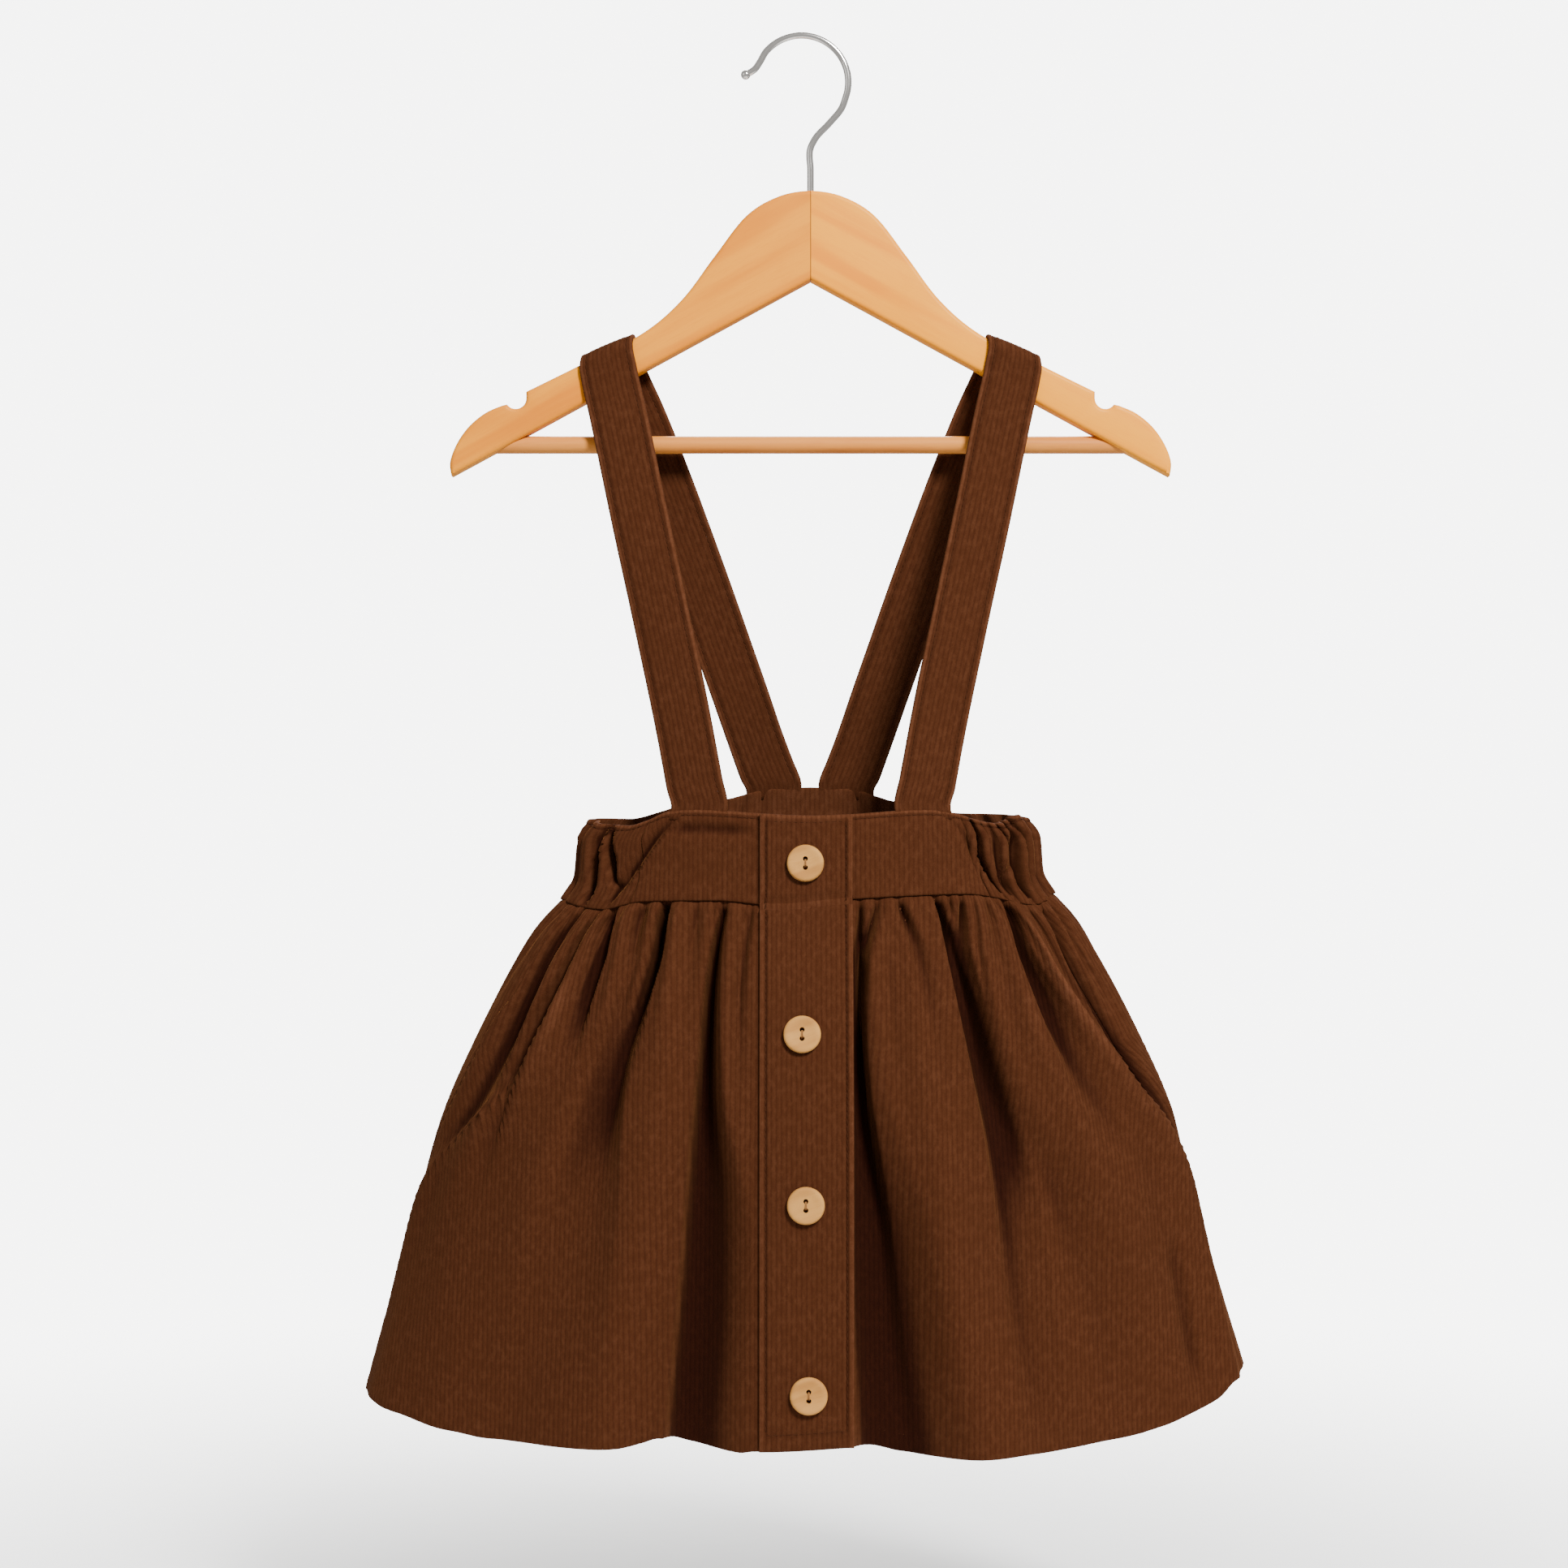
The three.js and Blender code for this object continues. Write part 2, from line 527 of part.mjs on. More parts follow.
// The button strip lies on the waistband and, lower down, on the thinner skirt.
function stripLift(down) {
  const under = mix(BAND_THICK, CLOTH, smooth(down / STRIP_BLEND)) / 2;
  return under + SEAM_GAP + STRIP_THICK / 2;
}

function addStrips() {
  addStrip("button_strip", COLUMNS.strip, STRIP_EDGE.left, STRIP_EDGE.right, STRIP_THICK, stripLift);
  const [left, right] = [PANEL_EDGE.left + SEAM_GAP, PANEL_EDGE.right - SEAM_GAP];
  addStrip("under_strip", COLUMNS.underStrip, left, right, CLOTH, () => 0);
}

// ---- Straps ----
// A strap's end on the waistband's top edge, where x runs along that edge.
function strapEndPoint(x, front) {
  const half = bandTurn(x, 0);
  return bandPoint(front ? half : 180 - half, 0).add(new THREE.Vector3(0, 0, STRAP_END.lift));
}

// Sections of the strap from its back end, over the arm, to its front end.
function strapSections() {
  const fold = [];
  const { steps, radius, top, frontX, backX, tilt } = STRAP_FOLD;
  const flat = HANGER_THICK / 2 - HANGER_EDGE;
  for (let k = -steps; k <= steps; k++) {
    if (k === 0) continue;
    const angle = rad((90 * (Math.abs(k) - 1)) / (steps - 1));
    const y = -Math.sign(k) * (flat + radius * Math.sin(angle));
    const x = mix(backX, frontX, (k + steps) / (2 * steps));
    fold.push({ x, y, z: top - radius * (1 - Math.cos(angle)), tilt, plan: 0 });
  }
  return [...STRAP_BACK, ...fold, ...STRAP_FRONT];
}

const STRAP_COLUMNS = 4;
function strapPoints() {
  const sections = strapSections();
  const row = (point) => Array.from({ length: STRAP_COLUMNS + 1 }, (_, i) => point(i / STRAP_COLUMNS));
  const end = (x, tilt, front) =>
    row((share) => strapEndPoint(x + ((share - 0.5) * STRAP_WIDTH) / Math.cos(rad(tilt)), front));
  const backEnd = end(STRAP_END.backX, STRAP_BACK[0].tilt, false);
  const frontEnd = end(STRAP_END.frontX, STRAP_FRONT.at(-1).tilt, true);
  const middle = sections.map(({ x, y, z, tilt, plan }) =>
    row((share) => {
      const out = (share - 0.5) * STRAP_WIDTH;
      const level = out * Math.cos(rad(tilt));
      const [dx, dy] = [level * Math.cos(rad(plan)), level * Math.sin(rad(plan))];
      return new THREE.Vector3(x + dx, y + dy, z - out * Math.sin(rad(tilt)));
    }),
  );
  return [backEnd, ...middle, frontEnd];
}

function addStrap(name, mirror) {
  const points = strapPoints();
  const last = points.length - 1;
  const at = (i, j, side) => {
    const column = mirror > 0 ? i : STRAP_COLUMNS - i;
    const right = points[j][STRAP_COLUMNS].clone().sub(points[j][0]);
    const ahead = points[Math.min(last, j + 1)][column].clone().sub(points[Math.max(0, j - 1)][column]);
    const normal = ahead.cross(right);
    if (j === 0 || j === last) normal.z = 0;
    const point = points[j][column].clone().addScaledVector(normal.normalize(), (side * STRAP_THICK) / 2);
    return point.multiply(new THREE.Vector3(mirror, 1, 1));
  };
  addMesh(centred, name, wallGeometry(STRAP_COLUMNS, last, at), corduroy);
}

// ---- Solid cutting ----
function toSolid(geometry) {
  const bare = geometry.clone();
  bare.deleteAttribute("normal");
  bare.deleteAttribute("uv");
  const merged = mergeVertices(bare);
  const vertProperties = new Float32Array(merged.attributes.position.array);
  const triVerts = new Uint32Array(merged.index.array);
  return new wasm.Manifold(new wasm.Mesh({ numProp: 3, vertProperties, triVerts }));
}
function toGeometry(solid) {
  const { vertProperties, triVerts } = solid.getMesh();
  const geometry = new THREE.BufferGeometry();
  geometry.setAttribute("position", new THREE.BufferAttribute(vertProperties, 3));
  geometry.setIndex(new THREE.BufferAttribute(triVerts, 1));
  return geometry;
}

// ---- Buttons ----
function buttonGeometry() {
  const { radius, thick, dish, edge, hole, holeApart } = BUTTON;
  const profile = [
    [0, 0],
    [radius - edge, 0],
    [radius, edge],
    [radius, thick - edge],
    [radius - edge, thick],
    [radius - 3 * edge, thick],
    [radius - 4.5 * edge, thick - dish],
    [0, thick - dish],
  ].map(([x, y]) => new THREE.Vector2(x, y));
  let solid = toSolid(new THREE.LatheGeometry(profile, BUTTON.sides).rotateX(Math.PI / 2));
  for (const side of [-1, 1]) {
    const drill = new THREE.CylinderGeometry(hole, hole, 4 * thick, 8).rotateX(Math.PI / 2);
    solid = solid.subtract(toSolid(drill.translate(0, (side * holeApart) / 2, 0)));
  }
  return toGeometry(solid);
}

function addButtons() {
  const geometry = buttonGeometry();
  BUTTON_DOWN.forEach((down, k) => {
    const { point, normal } = stripFrame(STRIP.middle + BUTTON_OFF[k], down);
    const button = addMesh(centred, `button_${k + 1}`, geometry, buttonWood);
    button.position.copy(point).addScaledVector(normal, stripLift(down) + STRIP_THICK / 2 + SEAM_GAP);
    button.quaternion.setFromUnitVectors(new THREE.Vector3(0, 0, 1), normal);
  });
}

// ---- Hanger ----
const OUTLINE_STEPS = { top: 20, notch: 6, end: 9 };
function armOutline() {
  const point = ({ x, drop }) => new THREE.Vector2(x, CROWN_Z - drop);
  const top = new THREE.SplineCurve(ARM_TOP.map(point)).getPoints(OUTLINE_STEPS.top);
  const end = new THREE.SplineCurve(ARM_END.map(point)).getPoints(OUTLINE_STEPS.end);
  const { x, drop, radius, lipAngle } = NOTCH;
  const lip = 2 * Math.PI + rad(lipAngle);
  const notch = new THREE.EllipseCurve(x, CROWN_Z - drop, radius, radius, Math.PI, lip);
  const under = point({ x: ARM_TOP[0].x, drop: ARM_UNDER.drop + ARM_UNDER.slope * ARM_TOP[0].x });
  return [...top, ...notch.getPoints(OUTLINE_STEPS.notch), ...end, under];
}

// A round cutter from the origin outwards, both ways, that leaves the fit round a bar or a wire.
function socketCutter(radius, half) {
  return new THREE.CylinderGeometry(radius + SOCKET_FIT, radius + SOCKET_FIT, 2 * (half + SEAM_GAP), 20);
}

function armSolid() {
  const depth = HANGER_THICK - 2 * HANGER_EDGE;
  const rounding = { bevelThickness: HANGER_EDGE, bevelSize: HANGER_EDGE, bevelOffset: -HANGER_EDGE };
  const options = { depth, bevelSegments: 2, ...rounding };
  const geometry = new THREE.ExtrudeGeometry(new THREE.Shape(armOutline()), options);
  geometry.translate(0, 0, -depth / 2).rotateX(Math.PI / 2);
  const side = 4 * ARM_UNDER.drop; // of a box larger than the crown
  const otherHalf = new THREE.BoxGeometry(side, side, side).translate((SEAM_GAP - side) / 2, 0, CROWN_Z);
  const socket = socketCutter(BAR.radius, BAR.half).rotateZ(Math.PI / 2).translate(0, 0, BAR.z);
  const hole = socketCutter(WIRE_RADIUS, STEM_DEPTH).rotateX(Math.PI / 2).translate(0, 0, CROWN_Z);
  const cutters = [otherHalf, socket, hole].map(toSolid);
  return cutters.reduce((solid, cutter) => solid.subtract(cutter), toSolid(geometry));
}

function addHanger() {
  const right = armSolid();
  addMesh(centred, "hanger_arm_right", toGeometry(right), beech);
  addMesh(centred, "hanger_arm_left", toGeometry(right.mirror([1, 0, 0])), beech);
  const rod = new THREE.CylinderGeometry(BAR.radius, BAR.radius, 2 * BAR.half, 20);
  const bar = addMesh(centred, "hanger_bar", rod, beech);
  bar.rotation.z = Math.PI / 2;
  bar.position.z = BAR.z;
}

const STEM_START = 10; // how far above the crown the stem is already straight
function addHook() {
  const centreZ = WIRE_RADIUS - HOOK_ARC.radius;
  const arc = [];
  for (let angle = HOOK_ARC.from; angle >= HOOK_ARC.to; angle -= HOOK_ARC.step) {
    const [x, z] = [Math.cos(rad(angle)), Math.sin(rad(angle))].map((part) => part * HOOK_ARC.radius);
    arc.push({ x: HOOK_ARC.x + x, z: centreZ + z });
  }
  const stem = [STEM_START, -STEM_DEPTH].map((up) => ({ x: MIDDLE.x, z: MIDDLE.z + CROWN_Z + up }));
  const line = [...HOOK_TIP, ...arc, ...HOOK_NECK, ...stem].map(({ x, z }) => new THREE.Vector3(x, 0, z));
  const round = new THREE.EllipseCurve(0, 0, WIRE_RADIUS, WIRE_RADIUS).getPoints(8);
  const section = new THREE.Shape(round.slice(1));
  const extrudePath = new THREE.CatmullRomCurve3(line, false, "centripetal");
  const wire = new THREE.ExtrudeGeometry(section, { steps: 48, extrudePath });
  const ball = new THREE.SphereGeometry(HOOK_BALL, 10, 8).translate(HOOK_TIP[0].x, 0, HOOK_TIP[0].z);
  addMesh(root, "hanger_hook", toGeometry(toSolid(wire).add(toSolid(ball))), steel);
}

addSkirt();
addWaistband();
addStrips();
addStrap("strap_left", -1);
addStrap("strap_right", 1);
addButtons();
addHanger();
addHook();

export default root;
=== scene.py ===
"""A child's corduroy suspender skirt on a wooden hanger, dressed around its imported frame.

Lengths are in millimetres until a mesh is made, measured from MIDDLE, the point that the frame's hanger and
garment are centred on. A point of the cloth is given by its turn in degrees round the body (0 the middle of the
front, 90 the viewer's right, 180 the middle of the back) and by its distance down the cloth from the waist
seam, which is negative on the waistband. The cloth's ribs, its wales, are real ridges that run down the cut.
"""
import math

import bmesh
import bpy
import numpy as np
from mathutils import Matrix, Vector


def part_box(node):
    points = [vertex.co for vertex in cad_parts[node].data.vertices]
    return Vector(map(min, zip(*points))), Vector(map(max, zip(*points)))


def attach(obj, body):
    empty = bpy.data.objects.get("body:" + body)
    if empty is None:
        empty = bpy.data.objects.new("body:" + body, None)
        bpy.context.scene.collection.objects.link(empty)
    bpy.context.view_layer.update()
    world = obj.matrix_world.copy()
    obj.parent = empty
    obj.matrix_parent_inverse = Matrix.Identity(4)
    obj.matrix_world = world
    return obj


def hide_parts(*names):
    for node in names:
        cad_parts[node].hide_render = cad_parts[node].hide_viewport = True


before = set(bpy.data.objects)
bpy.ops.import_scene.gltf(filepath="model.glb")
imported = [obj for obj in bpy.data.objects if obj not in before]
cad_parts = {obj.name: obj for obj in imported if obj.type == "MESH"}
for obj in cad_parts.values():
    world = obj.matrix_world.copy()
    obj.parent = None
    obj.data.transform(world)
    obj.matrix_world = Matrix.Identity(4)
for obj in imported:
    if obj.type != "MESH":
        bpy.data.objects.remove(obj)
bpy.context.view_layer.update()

MM = 0.001
BAR_Z = -184.5  # of the hanger's bar, from MIDDLE
BAR_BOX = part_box("hanger_bar")
MIDDLE = (Vector(BAR_BOX[0]) + Vector(BAR_BOX[1])) / 2 / MM - Vector((0, 0, BAR_Z))

# ---- Cloth form ----
CLOTH = 1.2  # one layer
BAND_THICK = 2.2
STRAP_THICK = 2.0
STRIP_THICK = 1.8
SKIRT_LENGTH = 242.0
BAND_HEIGHT = 40.0
BAND_SEAM = 47.0  # turn of the seam between the front and the back waistband
STRIP = {"middle": -2.2, "width": 41.6, "lap": 3.6}
STRIP_EDGE = (STRIP["middle"] - STRIP["width"] / 2, STRIP["middle"] + STRIP["width"] / 2)
PANEL_EDGE = (STRIP_EDGE[0] + STRIP["lap"], STRIP_EDGE[1] - STRIP["lap"])
UNDER_EDGE = 2.4  # how far the folds reach in beneath the strip's edges
SEAM_GAP = 0.3
SWAY = 0.01  # how far the sides hang over to the viewer's left, as a share of the half width
TUCK = {"up": 3.2, "in": 2.0, "reach": 1.0, "behind": 1.7}  # the skirt's top edge, sewn in behind the waistband
WALE = {"pitch": 2.2, "deep": 0.13, "steps": 6}
INSIDE_HIGHLIGHT = -0.33  # painted highlight that makes the cloth's inner side a little paler than its face
LINE_SHADE = 1.1  # painted shade of a stitch line, for each millimetre that it is sunk
EDGE_HIGHLIGHT = {"in": 0.9, "wide": 1.0, "pale": 0.55}  # painted highlight just inside an edge that catches the light: how far in, how wide, and how strong


def columns(rows):
    return np.array(rows, float).T


def fold_table(text, stations):
    """Folds from text, a row for each: its turns at the stations | its depths | the widths of its left flank, and
    of its right one if they differ, after a / | the shapes of the two flanks, or of both, and how far each rim
    hangs over. A row's last number holds for all stations after it."""
    def spread(part):
        values = [float(word) for word in part.split()]
        return np.array(values + values[-1:] * (len(stations) - len(values)))

    rows = []
    for line in text.strip().splitlines():
        if not line.startswith("#"):
            turns, deeps, widths, shapes = line.split("|")
            left, _, right = widths.partition("/")
            words = shapes.split()
            kinds = words[:2] * (3 - len(words[:2]))
            leans = [float(word) for word in words[2:]] or [0, 0]
            rows.append((spread(turns), spread(deeps), spread(left), spread(right or left), *kinds[:2], *leans))
    return rows


# Half width, and depth in front of and behind the middle, at distances down the cloth.
BAND_RINGS = columns([
    (-40, 98, 29, 26), (-30, 103.5, 30, 27), (-12, 105, 31.5, 28), (0, 111, 33, 29)])
SKIRT_RINGS = columns([
    (0, 112.4, 33.4, 29.4), (17, 124, 39, 34), (34, 133, 45, 38), (67, 148, 53, 43), (116, 166.6, 60, 48),
    (178, 182.6, 63, 51), (SKIRT_LENGTH, 200.4, 65, 53)])
# Heights over turns, and the side seams' turns over distances down.
BAND_TOP = columns([
    (-180, -340.8), (-170, -341.4), (-157, -346.3), (-140, -350.4), (-132, -353.4), (-124, -355.3),
    (-107, -355), (-88, -355.4), (-73, -357.4), (-56, -358),
    (-48, -355.6), (-40, -351.6), (-32, -350.8), (0, -353.5), (32, -350.8), (60, -357), (75, -353.2), (92, -354.6),
    (107, -353.6), (121, -353), (134, -352.8), (157, -347.2), (170, -341.4), (180, -340.8)])
WAIST_SEAM = columns([
    (-180, -383), (-155, -385), (-80, -393.2), (-57, -396), (-42, -392.2), (-22, -391.6), (-8, -393.6), (8, -391),
    (38, -388.8), (66, -394), (88, -389.5), (155, -385), (180, -383)])
HEM_RISE = columns([
    (-180, 0), (-140, 0), (-95, -1), (-75, -1.8), (-64, -0.9), (-52, -3), (-45, -5.5), (-37, -4.6), (-29, -3.4),
    (-25, -2.5), (-22, 0), (-19.5, 2.6), (-16, 0.8), (-9, -0.3), (-7, 0.8), (4, 0.9), (7.5, -0.8), (11.5, -4.7),
    (16.5, -7.1), (27, -8.5), (32, -9.4), (43, -8), (52, -3.5), (57.5, 0.4), (66.5, 5.3), (72, 10.3), (85, 11),
    (95, 7), (140, 0), (180, 0)])
LEFT_SEAM = columns([(0, 74), (25, 71), (45, 71.5), (60, 75.5), (92, 80), (127, 87), (SKIRT_LENGTH, 92)])
RIGHT_SEAM = columns([
    (0, 71), (15, 66.2), (32, 65), (51, 66), (65, 67.4), (78, 68.6), (102, 73.2), (117, 78), (150, 84),
    (SKIRT_LENGTH, 90)])
SIDE_GAP_TURN = 0.01  # turn left open at each side of the side seams
BAND_GAP_TURN = 0.05  # and of the waistband's seams

# Folds, with their turns and depths at these stations down the cloth. A positive depth is a trough and a negative
# one a ridge or lobe.
HANG_OVER = 2.2  # widths of its flank over which the push of a hanging rim fades out
CREST_HIGHLIGHT_SHARE = 0.5  # painted highlight: the share of a crest's height that makes the cloth there paler
FOLD_SHADE_REACH = {"skirt": (8, 7), "band": (5, 4)}  # painted shade of folds: how far to each side the heights are compared, and the depth for all of it
SUNK_SHADE = {"skirt": (0.9, 11), "band": (0.3, 4)}  # shade of cloth that lies sunk in, and the depth for all of it
FOLD_STATIONS = np.array([0, 30, 80, 150, SKIRT_LENGTH])
SKIRT_FOLDS = fold_table("""
# left front panel, from the button strip to the side
-13.2 -13.4 -13 | 2.6 0.6 0 | 1.8 3 | RIM SOFT
-14.9 -15 | 2.2 0.2 0 | 1.8 3 | RIM SOFT
-13.6 -13.6 -12.6 -12 | 0.6 2.2 1.4 0 | 3 4 5 6 | SOFT
-17.2 -16.2 -13.8 -12 | -0.8 -1.8 -2.6 0 | 2 3 9 / 4 5 9 | SOFT
-19.6 -19.2 -17.8 -16.4 -15.7 | 5 12 14 15 13 | 3 4.6 6 9 12 / 3 4.6 10 27 31 | BOX SOFT 1 -0.6
-22.4 -21 -20 | 3 0 | 1.7 2 | RIM
-29 -26 -25.5 -27 -28 | -1.2 -2.2 -3.4 -5.5 -8 | 8 10 20 38 48 / 8 9 13 22 26 | SOFT
-27 -24.6 -24 | 4 2.6 0 | 4.5 6 / 4 6 | SOFT
-31.3 -28.6 -27 | -2.2 -1.8 0 | 1.8 3 4 / 4 5 6 | SOFT
-34.6 -31.5 -31.8 -32 | 8 8 1.5 0 | 3.8 4.4 5 / 2.6 3.2 3 | BOX
-35 -32.4 -34.2 -34.4 -33 | 1 5 8 3 0 | 5 9 17 26 28 / 2.4 4 8 16 | RIM RIM 0 -1.4
-37.4 -34.6 -36 | -1.8 -2 -0.6 0 | 3.4 4 8 / 1.8 2 4 | SOFT
-40.8 -37.8 -37 | 4.2 3.4 0 | 4.5 6 / 4 5 | SOFT
-46 -41.4 -40 | -1.8 -1.6 0 | 3 3.6 4 / 5 6 | SOFT
-50.8 -45.8 -45 | 7 7 0.5 0 | 4 7 8 / 2.4 3 | RIM BOX
-54.2 -53.4 -56.4 -84 -95 | -2.6 -3.6 -5.6 -3.5 0 | 2.6 3.4 5 8 / 4 9 28 36 | PINCH
-56.8 -55.8 -58 -60 | 5 7 4 0 | 2.4 3.6 7 5 / 1.8 2.4 4 5 | RIM BOX
-57.8 -60.2 -60 -62 | -1.6 -2.8 -1.2 0 | 2.4 3.6 6 7 / 2 3.6 5 | SOFT
-65 -64.8 -67.2 -76 -82 | 4 8 6.5 2 0 | 4 6.5 11 16 / 2.6 5 9 14 | SOFT
-69.6 -68 -70 -77 -82 | 2.4 1.6 0 | 1.8 2.2 3 | RIM SOFT
-77 -80 -86 -90 -92 | 2.4 1.4 0 | 2.4 4 5 | SOFT
# right front panel, from the button strip to the side
11.3 9.5 9 | 4 3.4 0.4 0 | 2.2 2.4 3 / 1.8 2.2 3 | RIM
15.4 10.4 9 | 4.4 6.4 1 0 | 2.8 3.4 4 / 2.6 2.8 3 | SOFT RIM
18.4 12.2 10.8 10 | -2 -2.4 -1 0 | 2.8 3.2 4 3 / 5 7 8 | SOFT
12 9.6 9.3 10 11 | 0 4 12 7 1 | 3 5 10 15 18 / 3 2.6 3.4 8 10 | BOX RIM 0 -2
9.4 9.2 9.8 11 12 | 0 2 4 10 12 | 6 8 11 20 24 / 6 6 8 22 32 | BOX SOFT
19.8 21.9 21.4 21 | 5 4 1 0 | 1.9 5 7 / 3.8 6 8 | RIM SOFT
23 21 20 20.5 23 | -0.6 -1.4 -3 -6 -9 | 8 11 15 22 34 / 5 8 13 21 34 | SOFT
29.6 28.4 29 30.2 30.4 | 5 11 10 5 0 | 2.2 3.6 5.5 8 / 3.4 6.5 12 16 | RIM RIM 1.8 0
31.2 30.6 31.4 40.4 46.5 | 0 2 8 4 0.5 | 6 7 11 26 34 / 6 8 14 21 30 | SOFT
33.4 30.8 31 | 4 0.6 0 | 1.7 2.4 3 | RIM
36.9 31.8 32 | 5 6 0 | 2.4 5 / 1.9 4 | SOFT RIM
41.4 36.6 35 | -2.8 -3 -0.6 0 | 2 3 6 / 4.4 6 8 | SOFT
44.2 40.4 40 | 3.2 1.8 0 | 2.4 4 / 2.6 4 | SOFT
42 41.6 45.5 52.4 54 | -0.6 -2.4 -4.6 -4 -1 | 5 8 18 24 30 / 4.5 6 10 22 26 | SOFT
50.8 46.9 49 52 | 6.5 10 4 0 | 2.6 4 7 / 3.6 7 13 11 | RIM RIM 1 0
53.8 54.2 63.2 76.4 74 | -2.6 -5 -7 -5 -3 | 2.8 5 20 30 / 3 4 5 6 7 | PINCH
61 59 62 70 | 2.4 1.8 0 | 2 3 4 | SOFT
70 64 67.8 83 86 | 4 5.4 4 2.4 1.6 | 2.6 3.4 3.6 5 6 / 3 5 7 9 11 | RIM SOFT
76.6 71 73 80 | 3.6 2.6 0 | 2 2.4 4 / 2 2.6 5 | RIM
# back panel, from the viewer's right side to the left one
88 90 93 96 98 | 2.6 4 4 2 1 | 4 8 12 16 / 3.4 6 10 16 | SOFT
101 103 104 105 | 3.4 3 0.6 0 | 3 5 6 / 3 4 5 | SOFT PINCH
113 115 117 119 121 | -1 -2.4 -4 -5 | 6 9 15 26 32 / 6 8 11 20 26 | SOFT
125 127 129 131.5 134 | 4.4 8 9.5 9 8 | 3 3.6 5 9 13 / 4.5 8 17 26 34 | RIM SOFT 2.2 0
135 134 | 2.8 1.2 0 | 2.6 4 | PINCH
144 143 | 3 2.4 0 | 3 4 / 3 5 | PINCH SOFT
150 149.5 150 151 152 | -1 -2.6 -3.6 -6 -8 | 7 10 16 26 34 / 7 9 12 20 28 | SOFT
158 160 162 163 164 | 4 7.6 9 8 7 | 5 9 16 26 32 / 2.8 3.4 5 9 14 | SOFT RIM 0 -2.2
168 | 2.4 1.4 0 | 2.6 4 | PINCH
175 174 | -1 -2 -3 -4 -5 | 5 8 14 24 34 / 6 9 14 24 30 | SOFT
181 182 | 3.4 3.4 1 0 | 3 4 6 / 3 5 8 | PINCH SOFT
190 191 192 193 | 3 5 6 4 1 | 5 8 14 20 24 / 3 4 7 14 20 | SOFT RIM 0 -1.2
197 198 199 200 | -0.8 -1.4 -2.4 -3 -4 | 4 6 9 14 20 | SOFT
205 206 207 208 | 4 8 10 10 9 | 2.8 3.6 4.6 8 12 / 4 6 12 24 32 | RIM SOFT 2.4 0
213 212 | 2.8 1.6 0 | 2.6 4 | PINCH
222 223 | -1.4 -3 -4 -6 -8 | 6 9 15 26 34 / 7 11 16 24 32 | SOFT
229 228 | 3 2 0 | 3 4 / 3 5 | PINCH
239 238 237 236 235 | 4 7 7 6 5 | 5 9 17 26 30 / 2.8 3.6 5 9 14 | SOFT RIM 0 -2
248 247 | -1 -2 -3 -4 | 5 8 13 20 26 | SOFT
257 256 255 254 | 3.6 4 3 1 0 | 3.4 6 10 14 / 3.4 5 8 14 | SOFT
270 268 266 264 | 2.8 3 1 0 | 3 5 8 | PINCH SOFT
""", FOLD_STATIONS)
BAND_STATIONS = np.array([-BAND_HEIGHT, -24, -10, 0])
BAND_FOLDS = fold_table("""
# the viewer's left end of the front, and round its side
-35 -44.2 -52.6 -57 | 0 3.4 3.4 0.2 | 6 8 6 3 / 3 3.2 3 2.4 | SOFT RIM
-65 -59 -57 -56 | 4 7 0.6 0 | 3 4 2.6 2 / 2.6 3.4 2.4 2 | BOX
-60 -60 -55.4 -54 | 0 1 2 0.3 | 3 3 3.6 3 / 2.4 2.6 3.4 2 | SOFT
-67 -65.6 -64.2 -64 | -0.6 -1.6 -1.2 0 | 1.4 1.8 1.6 1.4 / 3 4 3.4 3 | SOFT
-69.6 -68.2 -67.4 -67 | 2.6 8 7 1 | 3 5 4.4 2.4 / 2 3.8 3.4 2 | RIM BOX
-84 -86 -86 -84 | 1.4 3 2.4 0.4 | 3 3.4 3.4 3 | RIM SOFT
# the viewer's right end of the front, and round its side
37 44 50 52 | 0.2 1.4 0 | 5 5 4 / 3 | SOFT
43 43.6 46 48 | 0.4 2.6 0.4 0 | 2.4 2.8 / 1.8 2 | SOFT
47.4 47.8 51 54 | 3 7.4 6.4 0.6 | 2.2 2.8 2.7 2 / 2.6 4.4 3.6 2.4 | BOX RIM 0 -1.4
52 53 54 | 2.4 0.6 0 | 1.6 | RIM
54.8 55.6 56.8 57 | 1.6 4.8 5.4 0.6 | 1.9 3 3 1.8 | RIM
59.4 62 | 3.4 3 0.2 0 | 1.7 1.9 1.8 | RIM
60 60.4 59 58.6 | 0 1.4 4.4 0.6 | 1.7 1.8 2 1.8 | RIM
65.4 65.4 66.2 67 | 0.6 7.4 8 0.6 | 1.8 4 4 1.8 / 1.8 3.6 3.6 1.8 | BOX
64 66 | 3 0.8 0 | 1.6 | RIM
68.2 73.4 73.8 73 | 3.4 4 2.6 0.4 | 1.7 1.9 1.9 1.8 | RIM
80 81.5 81 80 | 2.2 3.8 2.8 0.6 | 2.2 2.4 | RIM
""", BAND_STATIONS)
# The crease under the waistband's rim, beside the left strap, and dark, the painted shade put into it.
RIM_CREASE = {"down": -31.5, "wide": 2.6, "deep": 2.0, "dark": 0.42, "from": -42, "to": -11, "blend": 10}

# A short trough low down on the right front panel, between two points of the cloth, with its flanks' widths.
CREASE = {"turns": (65.5, 62), "downs": (160, 236), "deep": 2.8, "wide": (10, 5)}
# The small gathers under the waist seam, and those of the waistband where elastic draws it in.
GATHERS = {"wave": 8.6, "drift": 47, "deep": 1.0, "fade": 20, "start": 5}
ELASTIC = {"wave": 9.5, "drift": 60, "deep": 1.9, "from": 80, "to": 172, "blend": 8}


def smooth(value):
    value = np.clip(value, 0, 1)
    return value * value * (3 - 2 * value)


